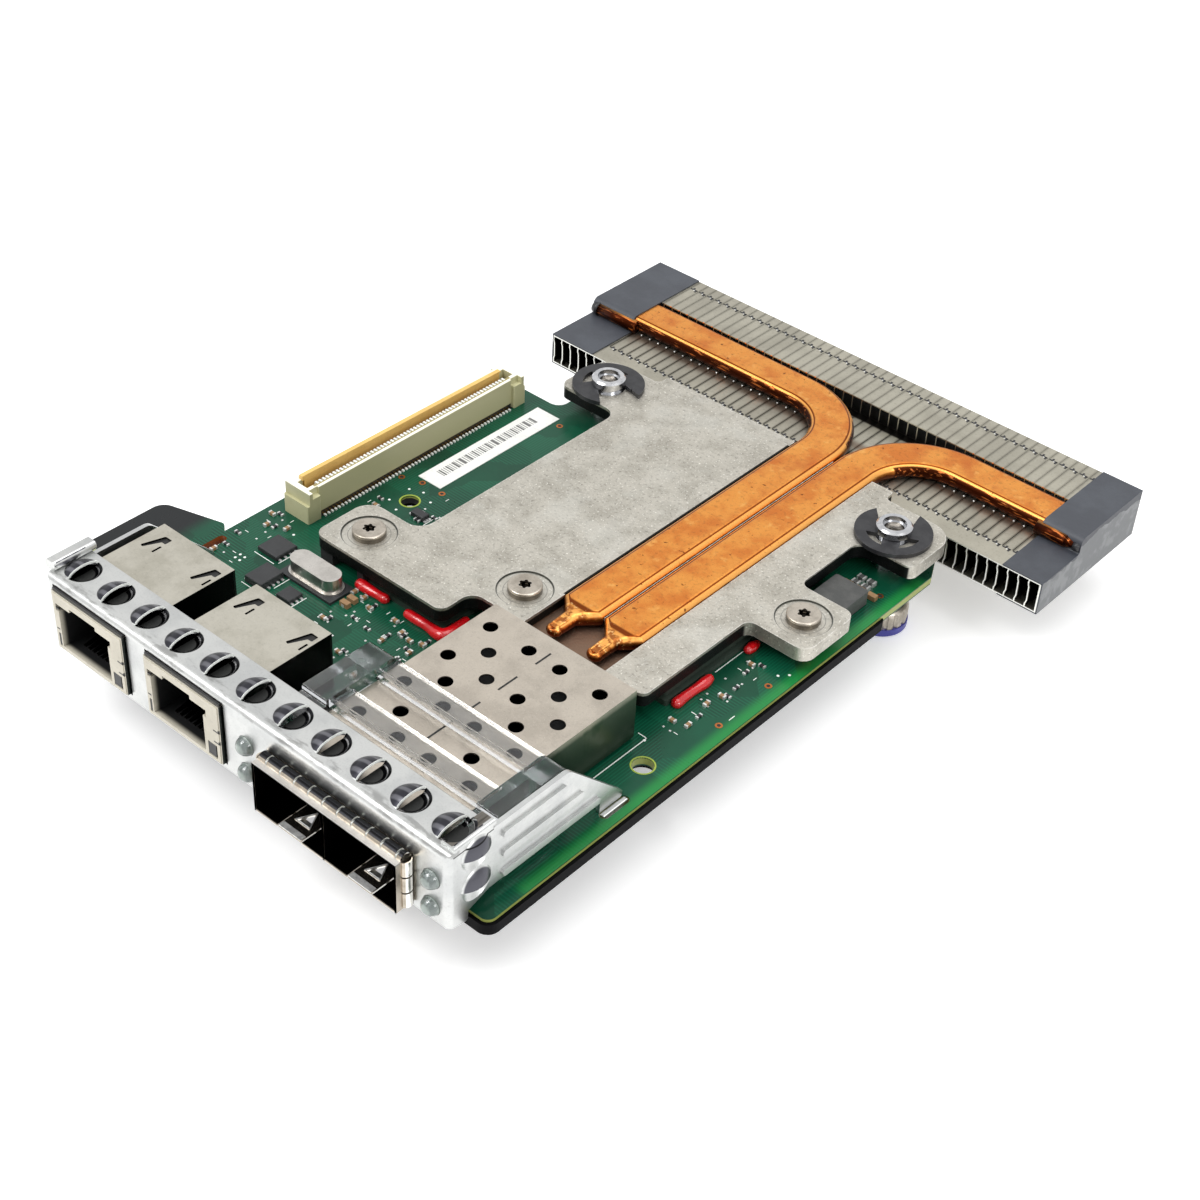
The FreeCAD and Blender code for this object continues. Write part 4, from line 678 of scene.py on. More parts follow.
def newMesh(name, shape):
    mesh = bpy.data.meshes.new(name)
    shape.to_mesh(mesh)
    shape.free()
    return mesh


def bakePiece(name, mesh, tree, values, replaced=()):
    # runs the tree once on the mesh and keeps the plain result
    holder = newObject(name, mesh)
    modifier = holder.modifiers.new("maker", "NODES")
    modifier.node_group = tree
    sockets = {item.name: item.identifier for item in tree.interface.items_tree
               if item.item_type == "SOCKET" and item.in_out == "INPUT"}
    for key, value in values.items():
        modifier[sockets[key]] = value
    bpy.context.view_layer.update()
    result = bpy.data.meshes.new_from_object(holder.evaluated_get(bpy.context.evaluated_depsgraph_get()))
    holder.modifiers.clear()
    holder.data = result
    keepPiece(holder, replaced)


def meshPiece(name, shape, finish, replaced=(), smooth=False):
    # a finished bmesh becomes a piece of its own
    mesh = newMesh(name, shape)
    mesh.materials.append(finishes[finish])
    if smooth:
        for face in mesh.polygons:
            face.use_smooth = True
    keepPiece(newObject(name, mesh), replaced)


def addScaled(shape, middle, scale, make=bmesh.ops.create_cube, turn=0.0, **values):
    # a unit shape at a point in metres, stretched by three factors and turned about its middle
    matrix = Matrix.Translation(middle) @ Matrix.Rotation(turn, 4, "Z") @ Matrix.Diagonal((*scale, 1))
    return make(shape, matrix=matrix, **values)


def addBlock(shape, low, high):
    # a box between two corners in millimetres
    low, high = place(*low), place(*high)
    addScaled(shape, (low + high) / 2, high - low, size=1.0)


def addBlocks(shape, boxes, x=0.0):
    # boxes of six values each, moved along by x
    for x0, y0, z0, x1, y1, z1 in boxes:
        addBlock(shape, (x + x0, y0, z0), (x + x1, y1, z1))


def blockPiece(name, boxes, finish, shifts=(0.0,)):
    shape = bmesh.new()
    for x in shifts:
        addBlocks(shape, boxes, x)
    meshPiece(name, shape, finish)


def joinRings(shape, rings, closed=True):
    # faces between neighbouring rings of corners
    for first, second in zip(rings, rings[1:]):
        for k in range(len(first)):
            following = (k + 1) % len(first)
            shape.faces.new((first[k], first[following], second[following], second[k]))
    if closed:
        shape.faces.new(rings[0][::-1])
        shape.faces.new(rings[-1])


def makeRow():
    # repeats the given shape along a line and coats it with one finish
    tree, given, result = newMaker("straightRow", [
        ("Count", "NodeSocketInt", 10), ("Step", "NodeSocketVector", (0.002, 0, 0)),
        ("Finish", "NodeSocketMaterial", None)])
    line = addNode(tree, "GeometryNodeMeshLine", {"mode": "OFFSET"},
                   {"Count": given["Count"], "Offset": given["Step"]})
    placed = addNode(tree, "GeometryNodeInstanceOnPoints", None,
                     {"Points": line.outputs[0], "Instance": given["Geometry"]})
    real = addNode(tree, "GeometryNodeRealizeInstances", None, {0: placed.outputs[0]})
    coated = addNode(tree, "GeometryNodeSetMaterial", None,
                     {"Geometry": real.outputs[0], "Material": given["Finish"]})
    tree.links.new(coated.outputs[0], result["Geometry"])
    return tree


rowTree = makeRow()


def rowPiece(name, shape, count, step, finish, replaced=()):
    # one small shape repeated in a straight row, a step in millimetres apart
    values = {"Count": count, "Step": tuple(value * mm for value in step), "Finish": finishes[finish]}
    bakePiece(name, newMesh(name + "Unit", shape), rowTree, values, replaced)


# fin stack

def kinkedEdge(shape, x, y0, y1, low, high):
    # the front of a fin's wall, bent a little to the side between its foot and its fold
    kink, skin = stack["kink"], stack["skin"] * 0.75
    levels = [(low, 0.0), (low + 0.8, 0.0), (low + 1.5, kink), (high - 1.6, kink * 0.6),
              (high - 0.9, -kink * 0.4), (high, 0.0)]
    rings = []
    for z, aside in levels:
        left = x + aside
        corners = [(left, y0), (left + skin, y0), (left + skin, y1), (left, y1)]
        rings.append([shape.verts.new(place(u, v, z)) for u, v in corners])
    joinRings(shape, rings)


def foldedFins():
    # upright wall with a kinked front edge, and its folded laps at the bottom and on both levels of the top
    s = stack
    shape = bmesh.new()
    x, skin, back = s["left"], s["skin"] * 0.7, s["front"] + s["kinkedDepth"]
    kinkedEdge(shape, x, s["front"], back, s["bottom"], s["frontTop"])
    for low, high, top in ((back, s["step"], s["frontTop"]), (s["step"], s["rear"], s["rearTop"])):
        addBlock(shape, (x, low, s["bottom"]), (x + skin, high, top))
    laps = ((s["front"], s["seam"], s["frontTop"], 0.0),
            (s["seam"], s["step"], s["frontTop"], s["gap"] * 1.6),
            (s["step"], s["rear"], s["rearTop"], s["gap"] * 0.7))
    for low, high, top, gap in laps:
        addBlock(shape, (x + skin, low, top - skin), (x + s["pitch"] - gap, high, top))
    addBlock(shape, (x + skin, s["front"], s["bottom"]), (x + s["pitch"], s["rear"], s["bottom"] + skin))
    rowPiece("foldedFins", shape, s["count"], (s["pitch"], 0, 0), "finMetal", ("fin_stack",))


def closingFin():
    s = stack
    x = s["left"] + s["count"] * s["pitch"]
    blockPiece("closingFin", [(x, s["front"], s["bottom"], x + s["skin"], s["step"], s["frontTop"]),
                              (x, s["step"], s["bottom"], x + s["skin"], s["rear"], s["rearTop"])],
               "finMetal")


# hooks and glints as x, y to x, y, counted from a fin's left side and the row's line
hooks = {"rows": (("frontHooks", stack["seam"], stack["frontTop"]), ("rearHooks", 147.6, stack["rearTop"])),
         "low": 0.1, "high": 0.05,
         "bars": [(0.1, -0.12, 1.7, 0.14), (1.3, -0.62, 1.65, 0.1), (0.5, 0.1, 0.85, 0.62)],
         "glints": [(0.9, -0.32, 1.2, -0.1)], "glintHigh": 0.07}


def interlocks():
    # the small hooks that zip each fin to the next, one row on each level, dark as painted shade, with
    # painted glints
    for name, y, top in hooks["rows"]:
        for ending, bars, high, finish in (("", hooks["bars"], hooks["high"], "chipBlackAndShade"),
                                           ("Glints", hooks["glints"], hooks["glintHigh"], "solderAndGlintBright")):
            shape = bmesh.new()
            for x0, y0, x1, y1 in bars:
                addBlock(shape, (stack["left"] + x0, y + y0, top - hooks["low"]),
                         (stack["left"] + x1, y + y1, top + high))
            rowPiece(name + ending, shape, stack["count"], (stack["pitch"], 0, 0), finish)


drops = {"radius": 0.19, "rows": (("leftDrops", 4.3, 21, 131.0, 3.45, "solderAndGlintBright"),
                                  ("rightDrops", 78.1, 13, 131.0, 3.45, "solderAndGlintBright"),
                                  ("rearLeftDrops", 8.4, 19, 139.42, 6.25, "viaCopper"),
                                  ("rearRightDrops", 78.1, 13, 139.42, 6.25, "viaCopper"))}


def solderDrops():
    # drops of solder where each fin touches the pipes
    for name, x, count, y, z, finish in drops["rows"]:
        shape = bmesh.new()
        bmesh.ops.create_icosphere(shape, subdivisions=1, radius=drops["radius"] * mm,
                                   matrix=Matrix.Translation(place(x, y, z)))
        rowPiece(name, shape, count, (stack["pitch"], 0, 0), finish)


# cones along x: both ends' x, then y, z, both radii and the number of sides
ends = {"copper": [(96.9, 102.6, 131.05, 4.7, 1.3, 1.2, 16), (102.6, 104.5, 131.05, 4.7, 1.2, 0.55, 16),
                   (-2.4, 7.0, 131.05, 4.7, 1.25, 1.25, 16)],
        "folds": [(104.2, 105.35, 131.0, 4.6, 0.9, 0.8, 10), (-3.7, -2.3, 131.0, 4.7, 1.0, 1.42, 12)]}


def pipeEnds():
    # the tape only lies over the pipes, so their flattened ends show in front of it
    for name, cones, finish, slotName in (("pipeEnds", ends["copper"], "pipeCopper", "pipe_copper"),
                                          ("tapeFolds", ends["folds"], "clipBlack", "tape_grey")):
        shape = bmesh.new()
        for x0, x1, y, z, radius0, radius1, sides in cones:
            matrix = Matrix.Translation(place((x0 + x1) / 2, y, z)) @ Matrix.Rotation(math.pi / 2, 4, "Y")
            bmesh.ops.create_cone(shape, cap_ends=True, segments=sides, radius1=radius0 * mm,
                                  radius2=radius1 * mm, depth=(x1 - x0) * mm, matrix=matrix)
        meshPiece(name, shape, finish, smooth=True)


tips = {"centres": (57.07, 65.57), "front": 52.5, "middle": 4.8, "inset": 0.35, "nose": (1.42, 1.15, 1.12),
        "dimpleAt": -0.3, "dimple": 0.75, "dimpleDepth": 0.5, "ridge": (0.3, 2.3, 0.24), "ridgeLift": 0.92,
        "aside": 0.62}


def crimpedTips():
    # sealed noses of the two pipes: swollen, dimpled on top, with a pinched ridge on each side
    shape = bmesh.new()
    for x in tips["centres"]:
        middle = place(x, tips["front"] + tips["inset"], tips["middle"])
        made = addScaled(shape, middle, tips["nose"], bmesh.ops.create_uvsphere, u_segments=28, v_segments=18,
                         radius=mm)
        top = middle + Vector((0, tips["dimpleAt"], tips["nose"][2])) * mm
        for vert in made["verts"]:
            near = 1 - (vert.co - top).length / (tips["dimple"] * mm)
            vert.co.z -= max(0.0, near) * tips["dimpleDepth"] * mm
        for side in (-1, 1):
            crest = place(x + side * tips["aside"], tips["front"] + tips["ridge"][1],
                          tips["middle"] + tips["ridgeLift"])
            addScaled(shape, crest, tips["ridge"], bmesh.ops.create_uvsphere, u_segments=14, v_segments=12,
                      radius=mm)
    meshPiece("crimpedTips", shape, "pipeCopper", smooth=True)


foldedFins()
closingFin()
interlocks()
solderDrops()
pipeEnds()
crimpedTips()
print("fin stack made")


# ports, lamps and connectors

lens = {"columns": (45.5, 82.9), "rows": (2.6, 7.8), "back": 0.3, "radius": 1.61, "bulge": 1.9, "sides": 28,
        "rings": 6}


def lampLenses():
    # four frosted domes that bulge forwards
    shape = bmesh.new()
    turns = [-2 * math.pi * k / lens["sides"] for k in range(lens["sides"])]
    for x in lens["columns"]:
        for z in lens["rows"]:
            rings = []
            for level in range(lens["rings"]):
                rise = math.pi / 2 * level / lens["rings"]
                wide, forward = lens["radius"] * math.cos(rise), lens["bulge"] * math.sin(rise)
                rings.append([shape.verts.new(place(x + wide * math.cos(turn), lens["back"] - forward,
                                                    z + wide * math.sin(turn))) for turn in turns])
            joinRings(shape, rings, closed=False)
            shape.faces.new(rings[0][::-1])
            top = shape.verts.new(place(x, lens["back"] - lens["bulge"], z))
            for k in range(lens["sides"]):
                shape.faces.new((rings[-1][k], rings[-1][(k + 1) % lens["sides"]], top))
    meshPiece("frostedLenses", shape, "lensFrost", smooth=True)


jack = {"centres": (10.4, 32.2),
        "windows": [(-7.85, -0.66, 1.9, -7.15, -0.3, 4.2), (5.35, -0.66, 1.9, 7.15, -0.3, 4.2)],
        "hooks": [(6.9, -0.72, 4.9, 8.2, -0.5, 5.12), (7.9, -0.72, 4.9, 8.15, -0.5, 5.45),
                  (6.9, -0.72, 7.1, 8.2, -0.5, 7.32), (7.9, -0.72, 7.1, 8.15, -0.5, 7.65),
                  (-7.6, -0.72, 9.2, -6.9, -0.5, 9.45), (-8.0, -0.72, 5.0, -7.3, -0.5, 5.25),
                  # the last box is a dark strip of painted shade in the gap above the nose
                  (-8.3, -0.42, 12.3, 8.3, -0.02, 12.72)]}


def jackTrim():
    # smoked lamp windows at the jaws' lower corners, the shield's small side-hook slots dark as painted
    # shade, and painted shade above each nose
    blockPiece("jackLampWindows", jack["windows"], "portBlackAndShade", jack["centres"])
    blockPiece("jackHookSlots", jack["hooks"], "portBlackAndShade", jack["centres"])


def archShape(shape, x, y, z, half, rise, skin, thick, sides=14):
    # thin arch over the cut edge of a raised louvre
    rings = []
    for k in range(sides + 1):
        across, up = math.cos(math.pi * k / sides), math.sin(math.pi * k / sides)
        outer = (y + half * across, z + rise * up)
        inner = (y + (half - skin) * across, z + (rise - skin) * up)
        corners = ((x, outer), (x + thick, outer), (x + thick, inner), (x, inner))
        rings.append([shape.verts.new(place(u, v, w)) for u, (v, w) in corners])
    joinRings(shape, rings)


def halfDisc(shape, x, y, radius, low, high, sides=16):
    # flat half-disc on the right of an upright axis
    turns = [math.pi * (k / sides - 0.5) for k in range(sides + 1)]
    joinRings(shape, [[shape.verts.new(place(x + radius * math.cos(turn), y + radius * math.sin(turn), z))
                       for turn in turns] for z in (low, high)])


def louvreEdges():
    # painted highlight on the cut edge of each raised half, and a dark half-disc of painted shade below each
    # dished half
    step = (louvres["pitch"], 0, 0)
    edge = bmesh.new()
    archShape(edge, louvres["first"] + 0.01, louvres["middle"], 14.0, louvres["half"], louvres["rise"],
              louvres["skin"], louvres["edge"])
    rowPiece("louvreEdges", edge, louvres["count"], step, "inkAndHighlightWhite")
    shadow = bmesh.new()
    halfDisc(shadow, louvres["first"] - 0.2, louvres["middle"], louvres["shadow"], *louvres["shadowLevels"])
    rowPiece("louvreShadows", shadow, louvres["count"], step, "holeDark")


cage = {"left": 50.3, "right": 79.2, "low": 0.5, "high": 9.8, "front": -3.1, "fingerFirst": 52.1,
        "fingerPitch": 2.89, "fingers": 10, "seamX": (64.3, 64.62), "seamZ": (9.78, 9.83),
        "seams": [(17.0, 21.3), (26.4, 28.5), (32.3, 36.4), (40.4, 43.8)]}
catch = {"centres": (57.6, 71.9), "triangle": [(-1.5, -0.6), (1.5, -0.6), (0.0, 2.4)], "level": 0.85,
         "thick": 0.14, "lip": (-2.3, -3.0, 0.78, 2.3, -2.0, 0.98)}


def catchFrames():
    # the raised triangle of each latch tongue, pressed up as three thin bars, and the tongue's lip, both
    # bright as painted highlights
    shape = bmesh.new()
    thick = catch["thick"] * mm
    corners = catch["triangle"]
    for x in catch["centres"]:
        for (u0, v0), (u1, v1) in zip(corners, corners[1:] + corners[:1]):
            middle = place(x + (u0 + u1) / 2, (v0 + v1) / 2, catch["level"])
            addScaled(shape, middle, (math.hypot(u1 - u0, v1 - v0) * mm, thick, thick),
                      turn=math.atan2(v1 - v0, u1 - u0), size=1.0)
        addBlocks(shape, [catch["lip"]], x)
    meshPiece("catchFrames", shape, "solderAndGlintBright")


def cageTrim():
    # painted glints between the spring fingers, and dark strips of painted shade in the roof's slits that
    # take the dividing wall's tabs
    shape = bmesh.new()
    x = cage["fingerFirst"]
    addBlock(shape, (x - 0.09, -1.9, 9.8), (x + 0.09, -0.35, 10.28))
    rowPiece("fingerGlints", shape, cage["fingers"], (cage["fingerPitch"], 0, 0), "inkAndHighlightWhite")
    (x0, x1), (z0, z1) = cage["seamX"], cage["seamZ"]
    blockPiece("roofSeams", [(x0, y0, z0, x1, y1, z1) for y0, y1 in cage["seams"]], "holeDark")


def mouthRims():
    # bright raw edges of the cage round both mouths
    left, right, low, high, front = (cage[key] for key in ("left", "right", "low", "high", "front"))
    posts = (left, (left + right) / 2 - 0.15, right - 0.3)
    rims = [(post, front, low, post + 0.3, front + 0.1, high) for post in posts]
    rims.append((left, front, high - 0.3, right, front + 1.2, high + 0.02))
    blockPiece("mouthRims", rims, "crystalMetal")


foot = {"low": (86.2, 30.9, -1.2), "high": (87.1, 36.3, 0.14), "round": 0.2}


def earFoot():
    # the strip of the right-hand ear that stands in the board's slot
    shape = bmesh.new()
    addBlock(shape, foot["low"], foot["high"])
    bmesh.ops.bevel(shape, geom=shape.edges[:], offset=foot["round"] * mm, segments=2, profile=0.5,
                    affect="EDGES")
    meshPiece("earFoot", shape, "bracketSteel")


connector = {"pins": 58, "pitch": 0.8, "first": 52.2, "crest": (0.2, 51.0, 5.9, 1.04, 99.6, 6.15),
             "bow": 0.65, "wall": (0.98, 51.4, 1.2, 1.04, 99.2, 5.88),
             "tooth": (2.75, 0.0, 5.45, 3.5, 0.4, 6.04), "tail": (4.66, 0.0, 0.0, 5.15, 0.36, 0.3),
             "gap": [(3.9, 51.6, 0.02, 4.15, 99.2, 0.95), (4.1, 51.6, 0.0, 4.66, 99.2, 0.05)]}


def connectorRows():
    # far wall, painted highlight as white contact tips on the near wall's top, soldered tails, and painted
    # shade in the gap at its foot
    c = connector
    wall = bmesh.new()
    addBlocks(wall, [c["crest"]])
    for vert in wall.verts:  # the wall's top edge bows up towards the front
        if vert.co.z > 6.0 * mm and vert.co.y < place(0, 75, 0).y:
            vert.co.z += c["bow"] * mm
    addBlocks(wall, [c["wall"]])
    meshPiece("channelWall", wall, "channelTan")
    for name, key in (("connectorTeeth", "tooth"), ("nearTails", "tail")):
        shape = bmesh.new()
        x0, y0, z0, x1, y1, z1 = c[key]
        addBlock(shape, (x0, c["first"] + y0, z0), (x1, c["first"] + y1, z1))
        rowPiece(name, shape, c["pins"], (0, c["pitch"], 0), "inkAndHighlightWhite")
    blockPiece("wallGap", c["gap"], "portBlackAndShade")


lampLenses()
louvreEdges()
cageTrim()
earFoot()
jackTrim()
catchFrames()
mouthRims()
connectorRows()
print("ports dressed")


# small parts soldered to the board

def makeScatter():
    # spreads one small part over the given faces, turned by quarters, from a fixed seed
    tree, given, result = newMaker("boardScatter", [
        ("Gap", "NodeSocketFloat", 0.002), ("Density", "NodeSocketFloat", 100000.0),
        ("Seed", "NodeSocketInt", 1),
        ("Body", "NodeSocketVector", (0.0008, 0.0006, 0.0005)), ("End share", "NodeSocketFloat", 0.3),
        ("Body finish", "NodeSocketMaterial", None), ("End finish", "NodeSocketMaterial", None)])
    points = addNode(tree, "GeometryNodeDistributePointsOnFaces", {"distribute_method": "POISSON"},
                     {"Mesh": given["Geometry"], "Distance Min": given["Gap"],
                      "Density Max": given["Density"], "Seed": given["Seed"]})
    length, width, height = addNode(tree, "ShaderNodeSeparateXYZ", None, {0: given["Body"]}).outputs

    def coatedBox(size, shift, finish):
        box = addNode(tree, "GeometryNodeMeshCube", None, {"Size": size}).outputs[0]
        moved = addNode(tree, "GeometryNodeTransform", None, {"Geometry": box, "Translation": shift})
        coated = addNode(tree, "GeometryNodeSetMaterial", None,
                         {"Geometry": moved.outputs[0], "Material": finish})
        return coated.outputs[0]

    shapes = [coatedBox(given["Body"], joinAxes(tree, z=times(tree, height, 0.5)), given["Body finish"])]
    endSize = joinAxes(tree, times(tree, length, given["End share"]), times(tree, width, 1.04),
                       times(tree, height, 1.06))
    for side in (-0.5, 0.5):
        shift = joinAxes(tree, times(tree, length, side), 0.0, times(tree, height, 0.53))
        shapes.append(coatedBox(endSize, shift, given["End finish"]))
    joined = tree.nodes.new("GeometryNodeJoinGeometry")
    for part in reversed(shapes):
        tree.links.new(part, joined.inputs[0])
    quarter = addNode(tree, "FunctionNodeRandomValue", {"data_type": "INT"},
                      {"Min": 0, "Max": 1, "Seed": given["Seed"]})
    turn = joinAxes(tree, z=times(tree, quarter.outputs[2], math.pi / 2))
    placed = addNode(tree, "GeometryNodeInstanceOnPoints", None,
                     {"Points": points.outputs[0], "Instance": joined.outputs[0], "Rotation": turn})
    real = addNode(tree, "GeometryNodeRealizeInstances", None, {0: placed.outputs[0]})
    tree.links.new(real.outputs[0], result["Geometry"])
    return tree


scatterTree = makeScatter()
zones = {  # each rectangle as x, y to x, y
    "jackSide": [(22.9, 23.2, 41.8, 41.6), (41.8, 11.0, 44.0, 41.5)],
    "leftField": [(-2.6, 38.5, 3.4, 47.6), (13.4, 22.6, 22.4, 29.8), (-1.6, 22.6, 3.4, 36.0)],
    "plateNotch": [(6.4, 57.2, 10.6, 62.6), (15.0, 61.8, 22.6, 66.8), (14.6, 69.0, 23.0, 70.4)],
    "plateFront": [(23.6, 38.8, 31.0, 42.2), (43.6, 47.2, 50.2, 49.4)],
    "rightStrip": [(80.2, 59.2, 84.2, 73.6), (80.6, 51.6, 83.4, 58.0), (84.4, 91.0, 87.4, 91.6),
                   (79.2, 90.6, 85.6, 91.4)],
}
everywhere = tuple(zones)
parts = {
    "tinyCapacitors": {"zones": everywhere, "gap": 2.2, "density": 90000, "seed": 4, "size": (1.0, 0.62, 0.5),
                       "ends": 0.3, "body": "capacitorTan", "end": "solderAndGlintBright", "slot": "capacitor_tan"},
    "tinyResistors": {"zones": everywhere, "gap": 2.4, "density": 90000, "seed": 11,
                      "size": (0.95, 0.55, 0.34), "ends": 0.28, "body": "resistorBlack",
                      "end": "solderAndGlintBright", "slot": "chip_black"},
    "testPads": {"zones": ("jackSide", "leftField", "plateNotch", "rightStrip"), "gap": 1.3,
                 "density": 120000, "seed": 23, "size": (0.34, 0.34, 0.03), "ends": 0.05,
                 "body": "solderAndGlintBright",
                 "end": "solderAndGlintBright", "slot": "contact_gold"},
    "inkStrokes": {"zones": everywhere, "gap": 1.7, "density": 90000, "seed": 37, "size": (0.8, 0.13, 0.02),
                   "ends": 0.02, "body": "inkAndHighlightWhite", "end": "inkAndHighlightWhite", "slot": "label_white"},
}


def boardParts():
    for name, p in parts.items():
        shape = bmesh.new()
        for zone in p["zones"]:
            for x0, y0, x1, y1 in zones[zone]:
                corners = ((x0, y0), (x1, y0), (x1, y1), (x0, y1))
                shape.faces.new([shape.verts.new(place(x, y, 0)) for x, y in corners])
        bakePiece(name, newMesh("zoneFaces", shape), scatterTree,
                  {"Gap": p["gap"] * mm, "Density": float(p["density"]), "Seed": p["seed"],
                   "Body": tuple(value * mm for value in p["size"]), "End share": p["ends"],
                   "Body finish": finishes[p["body"]], "End finish": finishes[p["end"]]})


def ringShape(shape, x, y, inner, outer, low, high, sides=24):
    # flat ring round an upright axis
    turns = [2 * math.pi * k / sides for k in range(sides)]
    loops = [[shape.verts.new(place(x + radius * math.cos(turn), y + radius * math.sin(turn), z))
              for turn in turns] for radius, z in ((inner, low), (outer, low), (outer, high), (inner, high))]
    joinRings(shape, loops + loops[:1], closed=False)


def discShape(shape, x, y, radius, low, high, sides=20):
    matrix = Matrix.Translation(place(x, y, (low + high) / 2))
    bmesh.ops.create_cone(shape, cap_ends=True, segments=sides, radius1=radius * mm, radius2=radius * mm,
                          depth=(high - low) * mm, matrix=matrix)


# plated holes as x and y; rims and depths as x, y, inner and outer radius, low and high
holes = {"vias": [(9.8, 70.7), (14.5, 70.8), (14.8, 100.8), (6.0, 69.4), (20.6, 29.0), (86.6, 58.0),
                  (86.4, 70.6), (85.8, 101.6)],
         "ring": (0.32, 0.62, 0.0, 0.04), "core": (0.33, 0.0, 0.02),
         "rims": [(84.0, 43.2, 1.75, 2.0, -0.4, 0.03), (12.1, 65.4, 1.6, 1.9, -0.4, 0.03)],
         "depths": [(12.1, 65.4, 1.58, 1.75, -1.6, -0.5)]}


def boardVias():
    # plated holes with copper rings, and the pale green rims of the two locating holes
    rings, cores, rims, depths = (bmesh.new() for k in range(4))
    for x, y in holes["vias"]:
        ringShape(rings, x, y, *holes["ring"])
        discShape(cores, x, y, *holes["core"])
    for values in holes["rims"]:
        ringShape(rims, *values, sides=48)
    for values in holes["depths"]:
        ringShape(depths, *values, sides=48)
    meshPiece("viaRings", rings, "viaCopper")
    meshPiece("viaHoles", cores, "holeDark")
    meshPiece("holeDepth", depths, "holeDark")
    meshPiece("holeRims", rims, "rimGreen")


ink = {"lines": [(13.6, 33.0, 13.75, 46.0), (13.6, 45.85, 15.2, 46.0), (8.6, 30.4, 13.2, 30.55),
                 (4.0, 37.2, 8.8, 37.35), (9.2, 37.9, 9.35, 42.6), (19.2, 31.2, 19.35, 35.0),
                 (18.6, 62.2, 18.75, 64.6), (86.9, 60.0, 87.05, 61.4), (81.6, 57.4, 82.6, 57.55),
                 (80.45, 33.0, 80.62, 48.2), (78.8, 48.05, 80.62, 48.2), (78.3, 67.3, 78.45, 75.0)],
       "dots": [(9.3, 63.2), (9.5, 67.8), (14.9, 67.6), (15.2, 63.0), (12.0, 68.8), (12.2, 62.0), (5.2, 44.9),
                (3.0, 34.0), (4.1, 34.0), (3.0, 35.1), (4.1, 35.1), (86.0, 73.6), (87.2, 75.0), (80.6, 47.5)],
       "lineHeight": 0.025, "dotRadius": 0.24, "dotHeight": 0.03}


def inkMarks():
    # plain printed lines and dots beside the parts
    shape = bmesh.new()
    for x0, y0, x1, y1 in ink["lines"]:
        addBlock(shape, (x0, y0, 0.0), (x1, y1, ink["lineHeight"]))
    for x, y in ink["dots"]:
        discShape(shape, x, y, ink["dotRadius"], 0.0, ink["dotHeight"], 10)
    meshPiece("inkMarks", shape, "inkAndHighlightWhite")


# foam between the plate's left lobe and the board
foam = [(13.4, 43.6, 0.0, 16.2, 55.0, 2.85), (22.2, 43.5, 0.0, 23.6, 54.0, 2.85)]

glue = {  # each point of a bead is its place and its thickness there
    "sides": 14, "lift": 0.42, "roundings": 3, "nose": [(0.98, 0.2), (0.8, 0.6), (0.45, 0.9)],
    "routes": [
        [(23.4, 43.2, 1.08), (25.4, 43.15, 1.02), (27.2, 43.3, 0.78), (28.8, 43.3, 0.92)],
        [(34.3, 43.3, 0.88), (36.2, 43.25, 0.98), (38.6, 43.35, 0.86), (41.7, 43.0, 1.24), (42.5, 43.7, 1.3),
         (42.2, 46.2, 0.95), (42.0, 48.5, 0.75)],
        [(79.0, 57.1, 0.98), (78.9, 59.2, 0.86), (79.0, 61.8, 0.8), (79.1, 63.7, 1.02), (78.95, 65.0, 0.82)],
        [(79.0, 74.9, 0.82), (79.0, 75.9, 0.98), (79.0, 76.9, 0.7)],
    ],
}


def cutCorners(points):
    # cuts each corner of a route, its thickness included
    cut = [points[0]]
    for first, second in zip(points, points[1:]):
        for share in (0.25, 0.75):
            cut.append(tuple(a + (b - a) * share for a, b in zip(first, second)))
    return cut + [points[-1]]


def glueBead(shape, points):
    # a bead that swells and thins along its route, flat where it lies on the board
    for rounding in range(glue["roundings"]):
        points = cutCorners(points)
    turns = [2 * math.pi * side / glue["sides"] for side in range(glue["sides"])]
    rings = []
    last = len(points) - 1
    for k, (x, y, radius) in enumerate(points):
        before, after = points[max(k - 1, 0)], points[min(k + 1, last)]
        length = math.hypot(after[0] - before[0], after[1] - before[1])
        dx, dy = (after[0] - before[0]) / length, (after[1] - before[1]) / length
        steps = [(0.0, 1.0)]
        if k == 0:
            steps = [(-forward, thick) for forward, thick in glue["nose"]] + steps
        if k == last:
            steps = steps + glue["nose"][::-1]
        for forward, thick in steps:
            ring = []
            for turn in turns:
                across, up = radius * thick * math.cos(turn), radius * thick * math.sin(turn)
                ring.append(shape.verts.new(place(x + dx * forward * radius - dy * across,
                                                  y + dy * forward * radius + dx * across,
                                                  max(0.0, glue["lift"] + up))))
            rings.append(ring)
    joinRings(shape, rings)


def glueBeads():
    shape = bmesh.new()
    for route in glue["routes"]:
        glueBead(shape, route)
    bmesh.ops.recalc_face_normals(shape, faces=shape.faces)
    meshPiece("glueBeads", shape, "glueRed", ("package_glue",), smooth=True)


# each chip as its middle's x and y, length and width
leads = {"chips": [(6.4, 40.3, 4.6, 4.6), (10.9, 33.4, 3.9, 4.9), (17.2, 33.2, 3.0, 3.0),
                   (16.6, 63.4, 2.9, 1.6)],
         "pitch": 0.95, "half": 0.2, "under": 0.05, "reach": 0.5, "height": 0.22}


